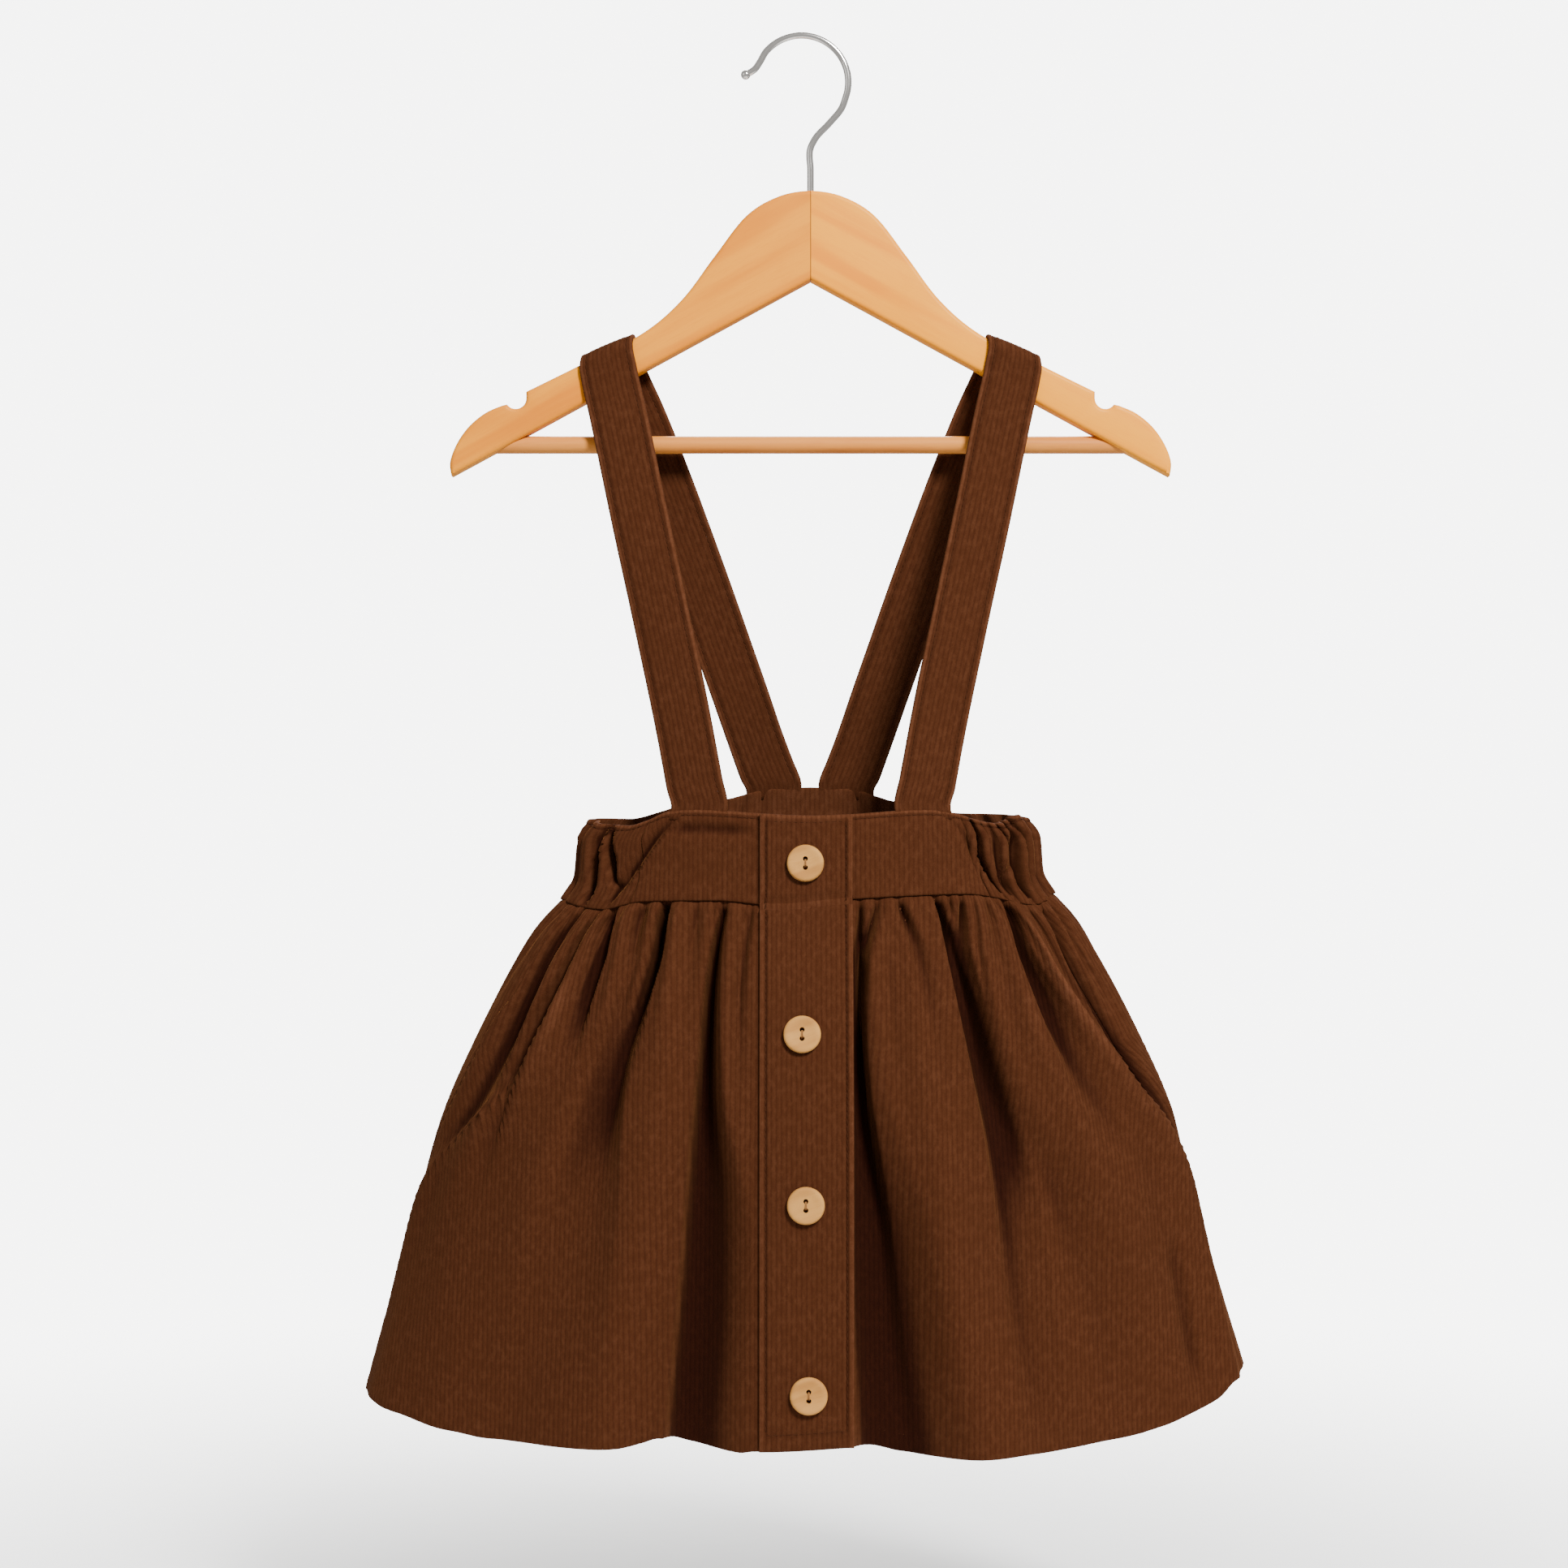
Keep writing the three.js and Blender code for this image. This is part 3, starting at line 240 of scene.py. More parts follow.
def curve(x, y):
    """A smooth function through the points (x, y) that never overshoots them."""
    slope = np.diff(y) / np.diff(x)
    tangent = np.zeros(len(y))
    tangent[0], tangent[-1] = slope[0], slope[-1]
    before, after = slope[:-1], slope[1:]
    rising = before * after > 0
    tangent[1:-1][rising] = (2 * before * after / np.where(rising, before + after, 1))[rising]

    def at(value):
        value = np.clip(value, x[0], x[-1])
        i = np.clip(np.searchsorted(x, value, "right") - 1, 0, len(x) - 2)
        step = x[i + 1] - x[i]
        t = (value - x[i]) / step
        level = y[i] + (y[i + 1] - y[i]) * smooth(t)
        return level + step * ((t ** 3 - 2 * t ** 2 + t) * tangent[i] + (t ** 3 - t ** 2) * tangent[i + 1])

    return at


skirt_ring, band_ring = ([curve(down, size) for size in sizes] for down, *sizes in (SKIRT_RINGS, BAND_RINGS))
band_top = curve(*BAND_TOP)
waist_seam = curve(*WAIST_SEAM)
hem_rise = curve(*HEM_RISE)
left_seam = curve(*LEFT_SEAM)
right_seam = curve(*RIGHT_SEAM)


def signed(turn):
    return (turn + 180) % 360 - 180


def apart(turn, other):
    """How far one turn lies beyond another, at most half a round either way."""
    return (turn - other + 540) % 360 - 180


def on_ring(ring, turn, down):
    """x and y on a ring, its outward normal's x and y, and the distance that one degree of turn makes."""
    half, front, back = (part(down) for part in ring)
    sine, cosine = np.sin(np.radians(turn)), np.cos(np.radians(turn))
    depth = np.where(cosine > 0, front, back)
    speed = np.hypot(half * cosine, depth * sine)
    x = half * sine * (1 - SWAY * sine)
    return x, -depth * cosine, depth * sine / speed, -half * cosine / speed, np.radians(speed)


WHOLE_TURNS = np.arange(181)
WAIST_ARC = np.concatenate([[0], np.cumsum(on_ring(skirt_ring, WHOLE_TURNS[:-1] + 0.5, 0 * WHOLE_TURNS[1:])[4])])


def uneven_wave(turn, gather, lean=0):
    """A wave round the waist with broad crests and pinched troughs, whose spacing and depth drift."""
    turn = signed(turn)
    arc = 2 * np.pi * np.sign(turn) * np.interp(np.abs(turn), WHOLE_TURNS, WAIST_ARC) / gather["drift"]
    phase = arc * gather["drift"] / gather["wave"] + 1.2 * np.sin(arc) + lean * np.sin(2.3 * arc)
    crest = ((1 + np.cos(phase)) / 2) ** 0.6
    return (2 * crest - 1) * (0.75 + 0.25 * np.cos(arc / 1.7))


def flank_shape(kind, reach):
    """How deep a fold is, from 1 at its middle to 0 at its rim, where reach is 1."""
    reach = np.clip(reach, 0, 1)
    if kind == "PINCH":
        tip = 0.1
        return np.clip(1 + tip - np.sqrt(reach ** 2 + tip ** 2), 0, 1) ** 2
    return {"SOFT": smooth(1 - reach), "RIM": 1 - reach ** 2, "BOX": 1 - reach ** 4}[kind]


def add_folds(folds, stations, turn, down, per_degree):
    """How far the folds move the cloth out, and how far they push it along towards higher turns."""
    out, along = (np.zeros(np.broadcast(turn, down).shape) for _ in range(2))
    levels, level = np.unique(down, return_inverse=True)
    level = level.reshape(np.shape(down))
    for turns, deeps, left, right, left_kind, right_kind, left_lean, right_lean in folds:
        middle, deep, wide_left, wide_right = (
            curve(stations, row)(levels)[level] for row in (turns, deeps, left, right))
        away = apart(turn, middle) * per_degree
        on_left, on_right = np.maximum(-away, 0) / wide_left, np.maximum(away, 0) / wide_right
        out -= deep * np.where(away < 0, flank_shape(left_kind, on_left), flank_shape(right_kind, on_right))
        for reach, lean in ((on_left, left_lean), (on_right, right_lean)):
            if lean:
                hump = smooth(np.where(reach < 1, reach, 1 - (reach - 1) / HANG_OVER))
                along += lean * deep / max(deeps) * hump
    return out, along


def crease_height(turn, down, per_degree):
    (turn_a, turn_b), (down_a, down_b) = CREASE["turns"], CREASE["downs"]
    t = (down - down_a) / (down_b - down_a)
    away = apart(turn, turn_a + (turn_b - turn_a) * np.clip(t, 0, 1)) * per_degree
    reach = np.abs(away) / np.where(away < 0, *CREASE["wide"])
    ends = smooth(4 * t) * smooth(4 * (1 - t))
    return -(CREASE["deep"] * ends * smooth(1 - reach))


def fold_shade_and_highlight(height, ring, turn, down, reach, scale):
    """Painted shade and highlight: 1 down in a fold, 0 on even cloth, and below 0 on a crest, from the heights beside
    each point.
    """
    beside = reach / on_ring(ring, turn, down)[4]
    here, left, right = (height(turn + step, down) for step in (0, -beside, beside))
    valley = np.clip(((left + right) / 2 - here) / scale, 0, 1)
    crest = np.clip((here - np.maximum(left, right)) / scale, 0, 1) * smooth((here - 1) / 3)
    return valley - CREST_HIGHLIGHT_SHARE * crest, here


# Painted shade down in the skirt's folds and painted highlight on its crests, for the cloth's fold attribute.
def skirt_painted_shade(turn, down):
    local, here = fold_shade_and_highlight(skirt_height, skirt_ring, turn, down, *FOLD_SHADE_REACH["skirt"])
    share, over = SUNK_SHADE["skirt"]
    return np.clip(local + share * smooth((-here - 1) / over), -1, 1)


# Painted shade down in the waistband's folds and in the crease under its rim, and painted highlight on its crests.
def band_painted_shade(turn, down):
    local, here = fold_shade_and_highlight(band_height, band_ring, turn, down, *FOLD_SHADE_REACH["band"])
    share, over = SUNK_SHADE["band"]
    return np.clip(local + share * smooth(-here / over) + RIM_CREASE["dark"] * rim_crease(turn, down), -1, 1)


def off_strip(x, y, blend, inset=0):
    """0 on the button strip and 1 at some distance from it, or from a line that far inside its edges."""
    return np.where(y > 0, 1, smooth((np.abs(x - STRIP["middle"]) - STRIP["width"] / 2 + inset) / blend))


def swell(turn, down):
    """Soft unevenness that all hanging cloth has."""
    a, b = np.radians(turn), down / SKIRT_LENGTH
    wave = np.sin(9 * a + 5 * b) + 0.7 * np.sin(17 * a - 9 * b + 1.3) + 0.5 * np.sin(31 * a + 14 * b + 0.4)
    return 0.35 * wave * smooth(down / 60)


def skirt_height(turn, down):
    x, y, _, _, per_degree = on_ring(skirt_ring, turn, down)
    return skirt_relief(turn, down, x, y, per_degree)[0]


def skirt_relief(turn, down, x, y, per_degree):
    clear = off_strip(x, y, 9)
    rise = smooth(down / GATHERS["start"] + 0.2)
    gather = GATHERS["deep"] * rise * np.exp(-((down / GATHERS["fade"]) ** 2)) * clear
    gather = gather * uneven_wave(turn, GATHERS, 0.6)
    tuck = -TUCK["in"] * np.exp(-((np.maximum(down, 0) / TUCK["reach"]) ** 2))
    folds, along = add_folds(SKIRT_FOLDS, FOLD_STATIONS, turn, down, per_degree)
    near = off_strip(x, y, 2.2, UNDER_EDGE) * smooth(down / 8 + 0.2)
    crease = crease_height(turn, down, per_degree)
    return gather + tuck + folds * near + crease + swell(turn, down) * clear, along * near


# Heights of the bare rings, from the cut length down each turn.
DOWN_STEP = SKIRT_LENGTH / 40
HALF_TURNS = np.arange(-180, 180.5, 0.5)
DOWNS = np.arange(0, SKIRT_LENGTH + 2.5 * DOWN_STEP, DOWN_STEP)


def ring_heights():
    turn, down = np.meshgrid(HALF_TURNS, DOWNS, indexing="ij")
    x, y = on_ring(skirt_ring, turn, down)[:2]
    sideways = np.hypot(np.diff(x, axis=1), np.diff(y, axis=1))
    drop = np.cumsum(np.sqrt(DOWN_STEP ** 2 - sideways ** 2), axis=1)
    return waist_seam(HALF_TURNS)[:, None] - SEAM_GAP - np.hstack([np.zeros((len(HALF_TURNS), 1)), drop])


RING_HEIGHTS = ring_heights()


def ring_height(turn, down):
    i = (signed(turn) + 180) / 0.5
    j = np.clip(down, 0, DOWNS[-2]) / DOWN_STEP
    i0, j0 = np.clip(i.astype(int), 0, len(HALF_TURNS) - 2), j.astype(int)
    a, b = i - i0, j - j0
    top = RING_HEIGHTS[i0, j0] * (1 - a) + RING_HEIGHTS[i0 + 1, j0] * a
    low = RING_HEIGHTS[i0, j0 + 1] * (1 - a) + RING_HEIGHTS[i0 + 1, j0 + 1] * a
    return top * (1 - b) + low * b - np.minimum(down, 0)


def skirt_surface(turn, down):
    """Points of the skirt's middle layer, an array of x, y, z rows."""
    turn, down = np.broadcast_arrays(np.asarray(turn, float), np.asarray(down, float))
    x, y, nx, ny, per_degree = on_ring(skirt_ring, turn, down)
    relief, along = skirt_relief(turn, down, x, y, per_degree)
    z = ring_height(turn, down) + smooth(down / SKIRT_LENGTH) * hem_rise(signed(turn))
    points = np.stack([x + relief * nx - along * ny, y + relief * ny + along * nx, z], axis=-1)
    behind = band_surface(turn, 0 * down)[..., :2] - TUCK["behind"] * np.stack([nx, ny], axis=-1)
    points[..., :2] += smooth(-1.4 * down / TUCK["up"])[..., None] * (behind - points[..., :2])
    return points


def elastic_height(turn, down):
    size = np.abs(signed(turn))
    drawn = smooth((size - ELASTIC["from"]) / ELASTIC["blend"]) * smooth((ELASTIC["to"] - size) / ELASTIC["blend"])
    lean = 0.8 + 0.6 * down / BAND_HEIGHT
    return ELASTIC["deep"] * drawn * uneven_wave(turn, ELASTIC, lean)


def rim_crease(turn, down):
    """1 in the crease under the rim and 0 away from it."""
    away = (down - RIM_CREASE["down"]) / RIM_CREASE["wide"]
    inside = smooth((signed(turn) - RIM_CREASE["from"]) / RIM_CREASE["blend"])
    inside = inside * smooth((RIM_CREASE["to"] - signed(turn)) / RIM_CREASE["blend"])
    return inside * np.exp(-(away ** 2))


def band_relief(turn, down):
    folds, along = add_folds(BAND_FOLDS, BAND_STATIONS, turn, down, on_ring(band_ring, turn, down)[4])
    return elastic_height(turn, down) + folds - RIM_CREASE["deep"] * rim_crease(turn, down), along


def band_height(turn, down):
    return band_relief(turn, down)[0]


def band_surface(turn, down):
    turn, down = np.broadcast_arrays(np.asarray(turn, float), np.asarray(down, float))
    x, y, nx, ny, _ = on_ring(band_ring, turn, down)
    height, along = band_relief(turn, down)
    share = 1 + down / BAND_HEIGHT
    z = band_top(signed(turn)) * (1 - share) + waist_seam(signed(turn)) * share
    return np.stack([x + height * nx - along * ny, y + height * ny + along * nx, z], axis=-1)


def turn_at(ring, x, down):
    share = 1 - 4 * SWAY * x / ring[0](down)
    return np.degrees(np.arcsin((1 - np.sqrt(share)) / (2 * SWAY)))


def front_surface(x, down):
    """The front from the waistband's top edge to the hem, at a given x."""
    x, down = np.broadcast_arrays(np.asarray(x, float), np.asarray(down, float))
    band = band_surface(turn_at(band_ring, x, np.minimum(down, 0)), np.minimum(down, 0))
    skirt = skirt_surface(turn_at(skirt_ring, x, np.maximum(down, 0)), np.maximum(down, 0))
    return np.where((down < 0)[..., None], band, skirt)


def normals_of(surface, across, down, step=0.3, level=False):
    """Outward normals of a surface, worked out from its differences. Level ones lie in plan."""
    right = surface(across + step, down) - surface(across - step, down)
    below = surface(across, down + step) - surface(across, down - step)
    normal = np.cross(below, right)
    if level:
        normal[..., 2] = 0
    return normal / np.linalg.norm(normal, axis=-1, keepdims=True)
# ---- End of cloth form ----


# ---- Meshes ----
def zip_rows(upper, lower, first_upper, first_lower):
    """Faces between two rows of vertices, each given by its places across, in the same order."""
    faces = []
    i = j = 0
    while i < len(upper) - 1 or j < len(lower) - 1:
        up = upper[i + 1] if i < len(upper) - 1 else math.inf
        low = lower[j + 1] if j < len(lower) - 1 else math.inf
        last = i == len(upper) - 2 and j == len(lower) - 2
        a, b = first_upper + i, first_lower + j
        if abs(up - low) < 1e-6 or last:
            faces.append((a, b, b + 1, a + 1))
            i, j = i + 1, j + 1
        elif up < low:
            faces.append((a, b, a + 1))
            i += 1
        else:
            faces.append((a, b, b + 1))
            j += 1
    return faces


def starts(rows):
    return np.concatenate([[0], np.cumsum([len(row) for row in rows])])


def shell_faces(outer, inner):
    """Faces of a closed shell from its outer and its inner rows of places across."""
    out, into = starts(outer), starts(inner) + sum(len(row) for row in outer)
    faces = []
    for j in range(len(outer) - 1):
        faces += zip_rows(outer[j], outer[j + 1], out[j], out[j + 1])
        faces += [face[::-1] for face in zip_rows(inner[j], inner[j + 1], into[j], into[j + 1])]
        right_out, right_in = out[j + 1] - 1, into[j + 1] - 1
        faces.append((out[j], into[j], into[j + 1], out[j + 1]))
        faces.append((right_in, right_out, out[j + 2] - 1, into[j + 2] - 1))
    faces += zip_rows(inner[0], outer[0], into[0], out[0])
    faces += zip_rows(outer[-1], inner[-1], out[-2], into[-2])
    return faces


def add_to_scene(name, data):
    thing = bpy.data.objects.new(name, data)
    bpy.context.collection.objects.link(thing)
    return thing


def add_object(name, points, faces, uvs=None, shades=None):
    """A mesh object from points in millimetres from MIDDLE."""
    mesh = bpy.data.meshes.new(name)
    placed = (np.asarray(points, float) + np.array(MIDDLE)) * MM
    mesh.from_pydata(placed.tolist(), [], [tuple(int(v) for v in face) for face in faces])
    mesh.validate()
    if uvs is not None:
        corners = np.empty(len(mesh.loops), dtype=np.int32)
        mesh.loops.foreach_get("vertex_index", corners)
        layer = mesh.uv_layers.new(name="cloth")
        layer.data.foreach_set("uv", (np.asarray(uvs) * MM)[corners].astype(np.float32).ravel())
    if shades is not None:
        # The fold attribute holds painted shade above 0 and painted highlight below 0.
        attribute = mesh.attributes.new("fold", "FLOAT", "POINT")
        attribute.data.foreach_set("value", np.asarray(shades, np.float32))
    mesh.polygons.foreach_set("use_smooth", [True] * len(mesh.polygons))
    mesh.update()
    return add_to_scene(name, mesh)


def wale_height(across):
    """The ridge of a wale: broad and round, with a narrow valley at each whole pitch."""
    phase = np.abs(np.sin(np.pi * across / WALE["pitch"]))
    return WALE["deep"] * (phase ** 0.8 - 0.7)


def edge_round(away, radius):
    """Falls from 1 to a third within a radius of an edge, as a folded or cut edge is rounded."""
    inward = np.clip(away / radius, 0, 1)
    return 0.35 + 0.65 * np.sqrt(1 - (1 - inward) ** 2)


def rows_between(start, end, spacing, radius):
    """Rows down a piece, with closer ones where its two ends are rounded."""
    count = max(2, round((end - start - 2 * radius) / spacing))
    inner = np.linspace(start + radius, end - radius, count + 1)
    close = radius * np.array([0, 0.12, 0.45])
    return np.concatenate([start + close, inner, (end - close)[::-1]])


def places(low, high, spacing, margin):
    """Every whole spacing between two edges, and the edges themselves with one rounding place each."""
    first, last = math.ceil((low + margin * 1.2) / spacing), math.floor((high - margin * 1.2) / spacing)
    inner = np.arange(first, last + 1) * spacing
    return np.concatenate([[low, low + 0.15 * margin, low + margin * 0.6], inner,
                           [high - margin * 0.6, high - 0.15 * margin, high]])


DRAWN_FROM, DRAWN_OVER = 32, 42  # turns from the origin where the wales begin to draw together, and over how many
DRAWN_TO = {False: 75, True: 0}  # down to where they do, on the skirt and on the waistband
FINE_STEP = 0.5
FINE_TURNS = np.arange(-100, 320 + FINE_STEP, FINE_STEP)


def ring_length(ring, down, origin):
    steps = on_ring(ring, FINE_TURNS[:-1] + FINE_STEP / 2, down)[4] * FINE_STEP
    length = np.concatenate([[0], np.cumsum(steps)])
    return length - np.interp(origin, FINE_TURNS, length)


def panel_places(ring, downs, low_turn, high_turn, origin, spacing, margin):
    """For each row, places across in millimetres of cloth from the origin turn, and the turns they lie at. They
    are counted along the bare ring, so that the wales run on undisturbed across the folds, but at the sides they
    are drawn together towards the waist. Without a ring, the places are the turns themselves."""
    if ring is None:
        across = [places(low_turn(down), high_turn(down), spacing, margin) for down in downs]
        return across, across
    across, turns = [], []
    for down in downs:
        length = ring_length(ring, down, origin)
        if down < DRAWN_TO[ring is band_ring]:
            drawn = smooth((np.abs(FINE_TURNS - origin) - DRAWN_FROM) / DRAWN_OVER)
            length += drawn * (ring_length(ring, DRAWN_TO[ring is band_ring], origin) - length)
        edges = np.interp((low_turn(down), high_turn(down)), FINE_TURNS, length)
        across.append(places(*edges, spacing, margin))
        turns.append(np.interp(across[-1], length, FINE_TURNS))
    return across, turns


def edge_highlight_at(away):
    """1 just inside an edge, where a painted highlight lies, and 0 away from it."""
    return np.exp(-(((away - EDGE_HIGHLIGHT["in"]) / EDGE_HIGHLIGHT["wide"]) ** 2))


def add_cloth(name, surface, ring, downs, spans, thick, lines=(), level_top=False, depth=None, highlit_edges=()):
    """A shell of corduroy. spans gives its low and high turn, and the turn that its wales are counted from.
    lines are functions of place, down and the row's two edges that say how deep a stitch line is sunk, and so how
    much painted shade lies along it. depth gives the painted shade and highlight of its folds. The edges named last,
    top or sides, get a painted highlight just inside them."""
    low_turn, high_turn, origin = spans
    margin = thick / 2
    rows, points, uvs, shades = [], [], [], []
    for side, step in ((1, WALE["pitch"] / WALE["steps"]), (-1, WALE["pitch"])):
        across, turns = panel_places(ring, downs, low_turn, high_turn, origin, step, margin)
        rows.append(across)
        turn, place = np.concatenate(turns), np.concatenate(across)
        down, low, high = (np.concatenate([np.full(len(row), value) for row, value in zip(across, values)])
                           for values in (downs, [row[0] for row in across], [row[-1] for row in across]))
        rounded = edge_round(np.minimum(down - downs[0], downs[-1] - down), margin)
        rounded = rounded * edge_round(np.minimum(place - low, high - place), margin)
        out = side * thick / 2 * rounded
        # The inner side gets a painted highlight all over; the face gets painted shade and highlight from its folds
        # and painted shade along its stitch lines.
        shade = np.full(len(place), INSIDE_HIGHLIGHT)
        if side > 0:
            out = out + wale_height(place) * rounded
            shade = depth(turn, down) if depth else np.zeros(len(place))
            for line in lines:
                out = out - line(place, down, low, high)
                shade = shade + LINE_SHADE * line(place, down, low, high)
            # A painted highlight just inside the named edges.
            if highlit_edges:
                away = {"top": down - downs[0], "sides": np.minimum(place - low, high - place)}
                shade = shade - EDGE_HIGHLIGHT["pale"] * edge_highlight_at(np.minimum.reduce([away[edge] for edge in highlit_edges]))
        points.append(surface(turn, down) + normals_of(surface, turn, down, level=level_top) * out[:, None])
        uvs.append(np.stack([place, down], axis=1))
        shades.append(shade)
    return add_object(name, np.vstack(points), shell_faces(*rows), np.vstack(uvs), np.concatenate(shades))


GROOVE = {"hem": (0.35, 0.55), "rim": (0.5, 0.7), "strap": (0.45, 0.55)}  # a stitch line's depth and half width


def sunk(away, deep, width):
    """How deep a row of stitches pulls the cloth in, at a distance from it."""
    return deep * np.exp(-((away / width) ** 2))


# ---- The cloth's pieces ----
SKIRT_ROWS = {"near": 1.8, "far": 4.6, "to": 50}  # spacing of the rows, close down to where the gathers end
SKIRT_DOWNS = np.unique(np.concatenate([
    rows_between(-TUCK["up"], SKIRT_ROWS["to"], SKIRT_ROWS["near"], CLOTH / 2)[:-3],
    rows_between(SKIRT_ROWS["to"], SKIRT_LENGTH, SKIRT_ROWS["far"], CLOTH / 2)[3:]]))
BAND_DOWNS = rows_between(-BAND_HEIGHT, 0, 1.1, BAND_THICK / 2)
HEM_LINE = 7.5  # how far the hem's stitches lie above its edge
RIM_LINE = 2.4  # and the waistband's below its top edge


def side_edge(seam, sign, gap):
    return lambda down: sign * (seam(down) + gap)


def skirt_edge(x):
    return lambda down: turn_at(skirt_ring, x, down)


def band_edge(x):
    return lambda down: turn_at(band_ring, x, down)


def hem_groove(place, down, low, high):
    return sunk(down - (SKIRT_LENGTH - HEM_LINE), *GROOVE["hem"])


def rim_groove(place, down, low, high):
    return sunk(down + BAND_HEIGHT - RIM_LINE, *GROOVE["rim"])


SKIRT_SPANS = {
    "skirt_front_left": (side_edge(left_seam, -1, -SIDE_GAP_TURN), skirt_edge(PANEL_EDGE[0]), 0),
    "skirt_front_right": (skirt_edge(PANEL_EDGE[1]), side_edge(right_seam, 1, -SIDE_GAP_TURN), 0),
    "skirt_back": (side_edge(right_seam, 1, SIDE_GAP_TURN), lambda down: 360 - left_seam(down) - SIDE_GAP_TURN, 180),
}
BAND_SPANS = {
    "waistband_front_left": (lambda down: BAND_GAP_TURN - BAND_SEAM, band_edge(PANEL_EDGE[0]), 0),
    "waistband_front_right": (band_edge(PANEL_EDGE[1]), lambda down: BAND_SEAM - BAND_GAP_TURN, 0),
    "waistband_back": (lambda down: BAND_SEAM + BAND_GAP_TURN, lambda down: 360 - BAND_SEAM - BAND_GAP_TURN, 180),
}


def front_soft(x, down):
    """The front surface with its steps evened out, as the stiffer button strip bridges them."""
    down = np.asarray(down, float)
    return 0.5 * front_surface(x, down) + 0.25 * (front_surface(x, down - 5) + front_surface(x, down + 5))


def strip_base(x, down):
    """The front surface under the strip, carried on level past the folds beneath its edges."""
    inner = np.clip(x, STRIP_EDGE[0] + UNDER_EDGE, STRIP_EDGE[1] - UNDER_EDGE)
    base = front_soft(inner, down)
    base[..., 0] += x - inner
    return base


def strip_surface(x, down):
    under = (BAND_THICK + (CLOTH - BAND_THICK) * smooth(np.asarray(down, float) / 12)) / 2
    lift = under + SEAM_GAP + STRIP_THICK / 2
    return strip_base(x, down) + normals_of(strip_base, x, down) * lift[..., None]


STRIP_DOWNS = rows_between(-BAND_HEIGHT, SKIRT_LENGTH, 3.0, STRIP_THICK / 2)
STRIP_TOP_LINE = 3.2  # how far the strip's stitches lie below its top edge
STRIP_SIDE_LINE = 3.0  # and inside its sides


def strip_groove(place, down, low, high):
    side = np.minimum(place - low, high - place) - STRIP_SIDE_LINE
    top = down + BAND_HEIGHT - STRIP_TOP_LINE
    hem = SKIRT_LENGTH - HEM_LINE - down
    return sunk(np.minimum(np.minimum(side, top), hem), *GROOVE["rim"])


def add_skirt_and_band():
    made = {}
    for name, span in SKIRT_SPANS.items():
        made[name] = add_cloth(
            name + "_cloth", skirt_surface, skirt_ring, SKIRT_DOWNS, span, CLOTH, [hem_groove], depth=skirt_painted_shade)
    for name, span in BAND_SPANS.items():
        made[name] = add_cloth(
            name + "_cloth", band_surface, band_ring, BAND_DOWNS, span, BAND_THICK, [rim_groove], True,
            band_painted_shade, ["top"])
    strip = (lambda down: STRIP_EDGE[0], lambda down: STRIP_EDGE[1], 0)
    under = (lambda down: PANEL_EDGE[0] + SEAM_GAP, lambda down: PANEL_EDGE[1] - SEAM_GAP, 0)
    made["button_strip"] = add_cloth(
        "button_strip_cloth", strip_surface, None, STRIP_DOWNS, strip, STRIP_THICK, [strip_groove],
        highlit_edges=["top", "sides"])
    made["under_strip"] = add_cloth("under_strip_cloth", front_soft, None, STRIP_DOWNS, under, CLOTH)
    return made


# ---- Straps ----
STRAP_WIDTH = 26.0
STRAP_END = {"front_x": 50.2, "back_x": 16.7, "sunk": 4.5, "thin": 0.35}
# Sections of the right strap's middle line. tilt and plan turn its width out of the X axis, downwards and
# backwards. The left strap is its mirror image.
STRAP_BACK = [
    (20, 25.2, -333, 20, -2.6), (34.5, 21.6, -292, 20, -2), (52.5, 17, -241, 20, -1),
    (70.4, 11.6, -193, 20.5, 0), (80.2, 9.2, -169, 21, 0), (87.6, 8, -153, 21.5, 0)]
STRAP_FRONT = [
    (91.6, -8, -153, 14, 0), (88, -9.3, -169, 12, 1), (78.9, -13, -212, 12, 3), (68.1, -17.2, -262, 12, 6),
    (58.8, -20.9, -306, 11.7, 8.5), (52.4, -23.6, -339, 11, 10)]
STRAP_FOLD = {"top": -139.4, "radius": 4.1, "flat": 4.0, "front_x": 93.0, "back_x": 91.6, "tilt": 21.7, "steps": 5}
STRAP_LINE = 3.2  # how far the strap's stitches lie inside its edges
STRAP_ROWS = 190  # sections of a strap's mesh


def through(points, count):
    """A smooth curve through points, as evenly spaced rows. It can carry more values after x, y and z."""
    points = np.asarray(points, float)
    length = np.concatenate([[0], np.cumsum(np.linalg.norm(np.diff(points[:, :3], axis=0), axis=1))])
    tangent = np.gradient(points, length, axis=0)
    fine = np.linspace(0, length[-1], 12 * count)
    i = np.clip(np.searchsorted(length, fine, "right") - 1, 0, len(length) - 2)
    step = (length[i + 1] - length[i])[:, None]
    t = (fine - length[i])[:, None] / step
    value = (2 * t ** 3 - 3 * t ** 2 + 1) * points[i] + (3 * t ** 2 - 2 * t ** 3) * points[i + 1]
    value += step * ((t ** 3 - 2 * t ** 2 + t) * tangent[i] + (t ** 3 - t ** 2) * tangent[i + 1])
    run = np.concatenate([[0], np.cumsum(np.linalg.norm(np.diff(value[:, :3], axis=0), axis=1))])
    even = np.linspace(0, run[-1], count)
    return np.stack([np.interp(even, run, column) for column in value.T], axis=1), even


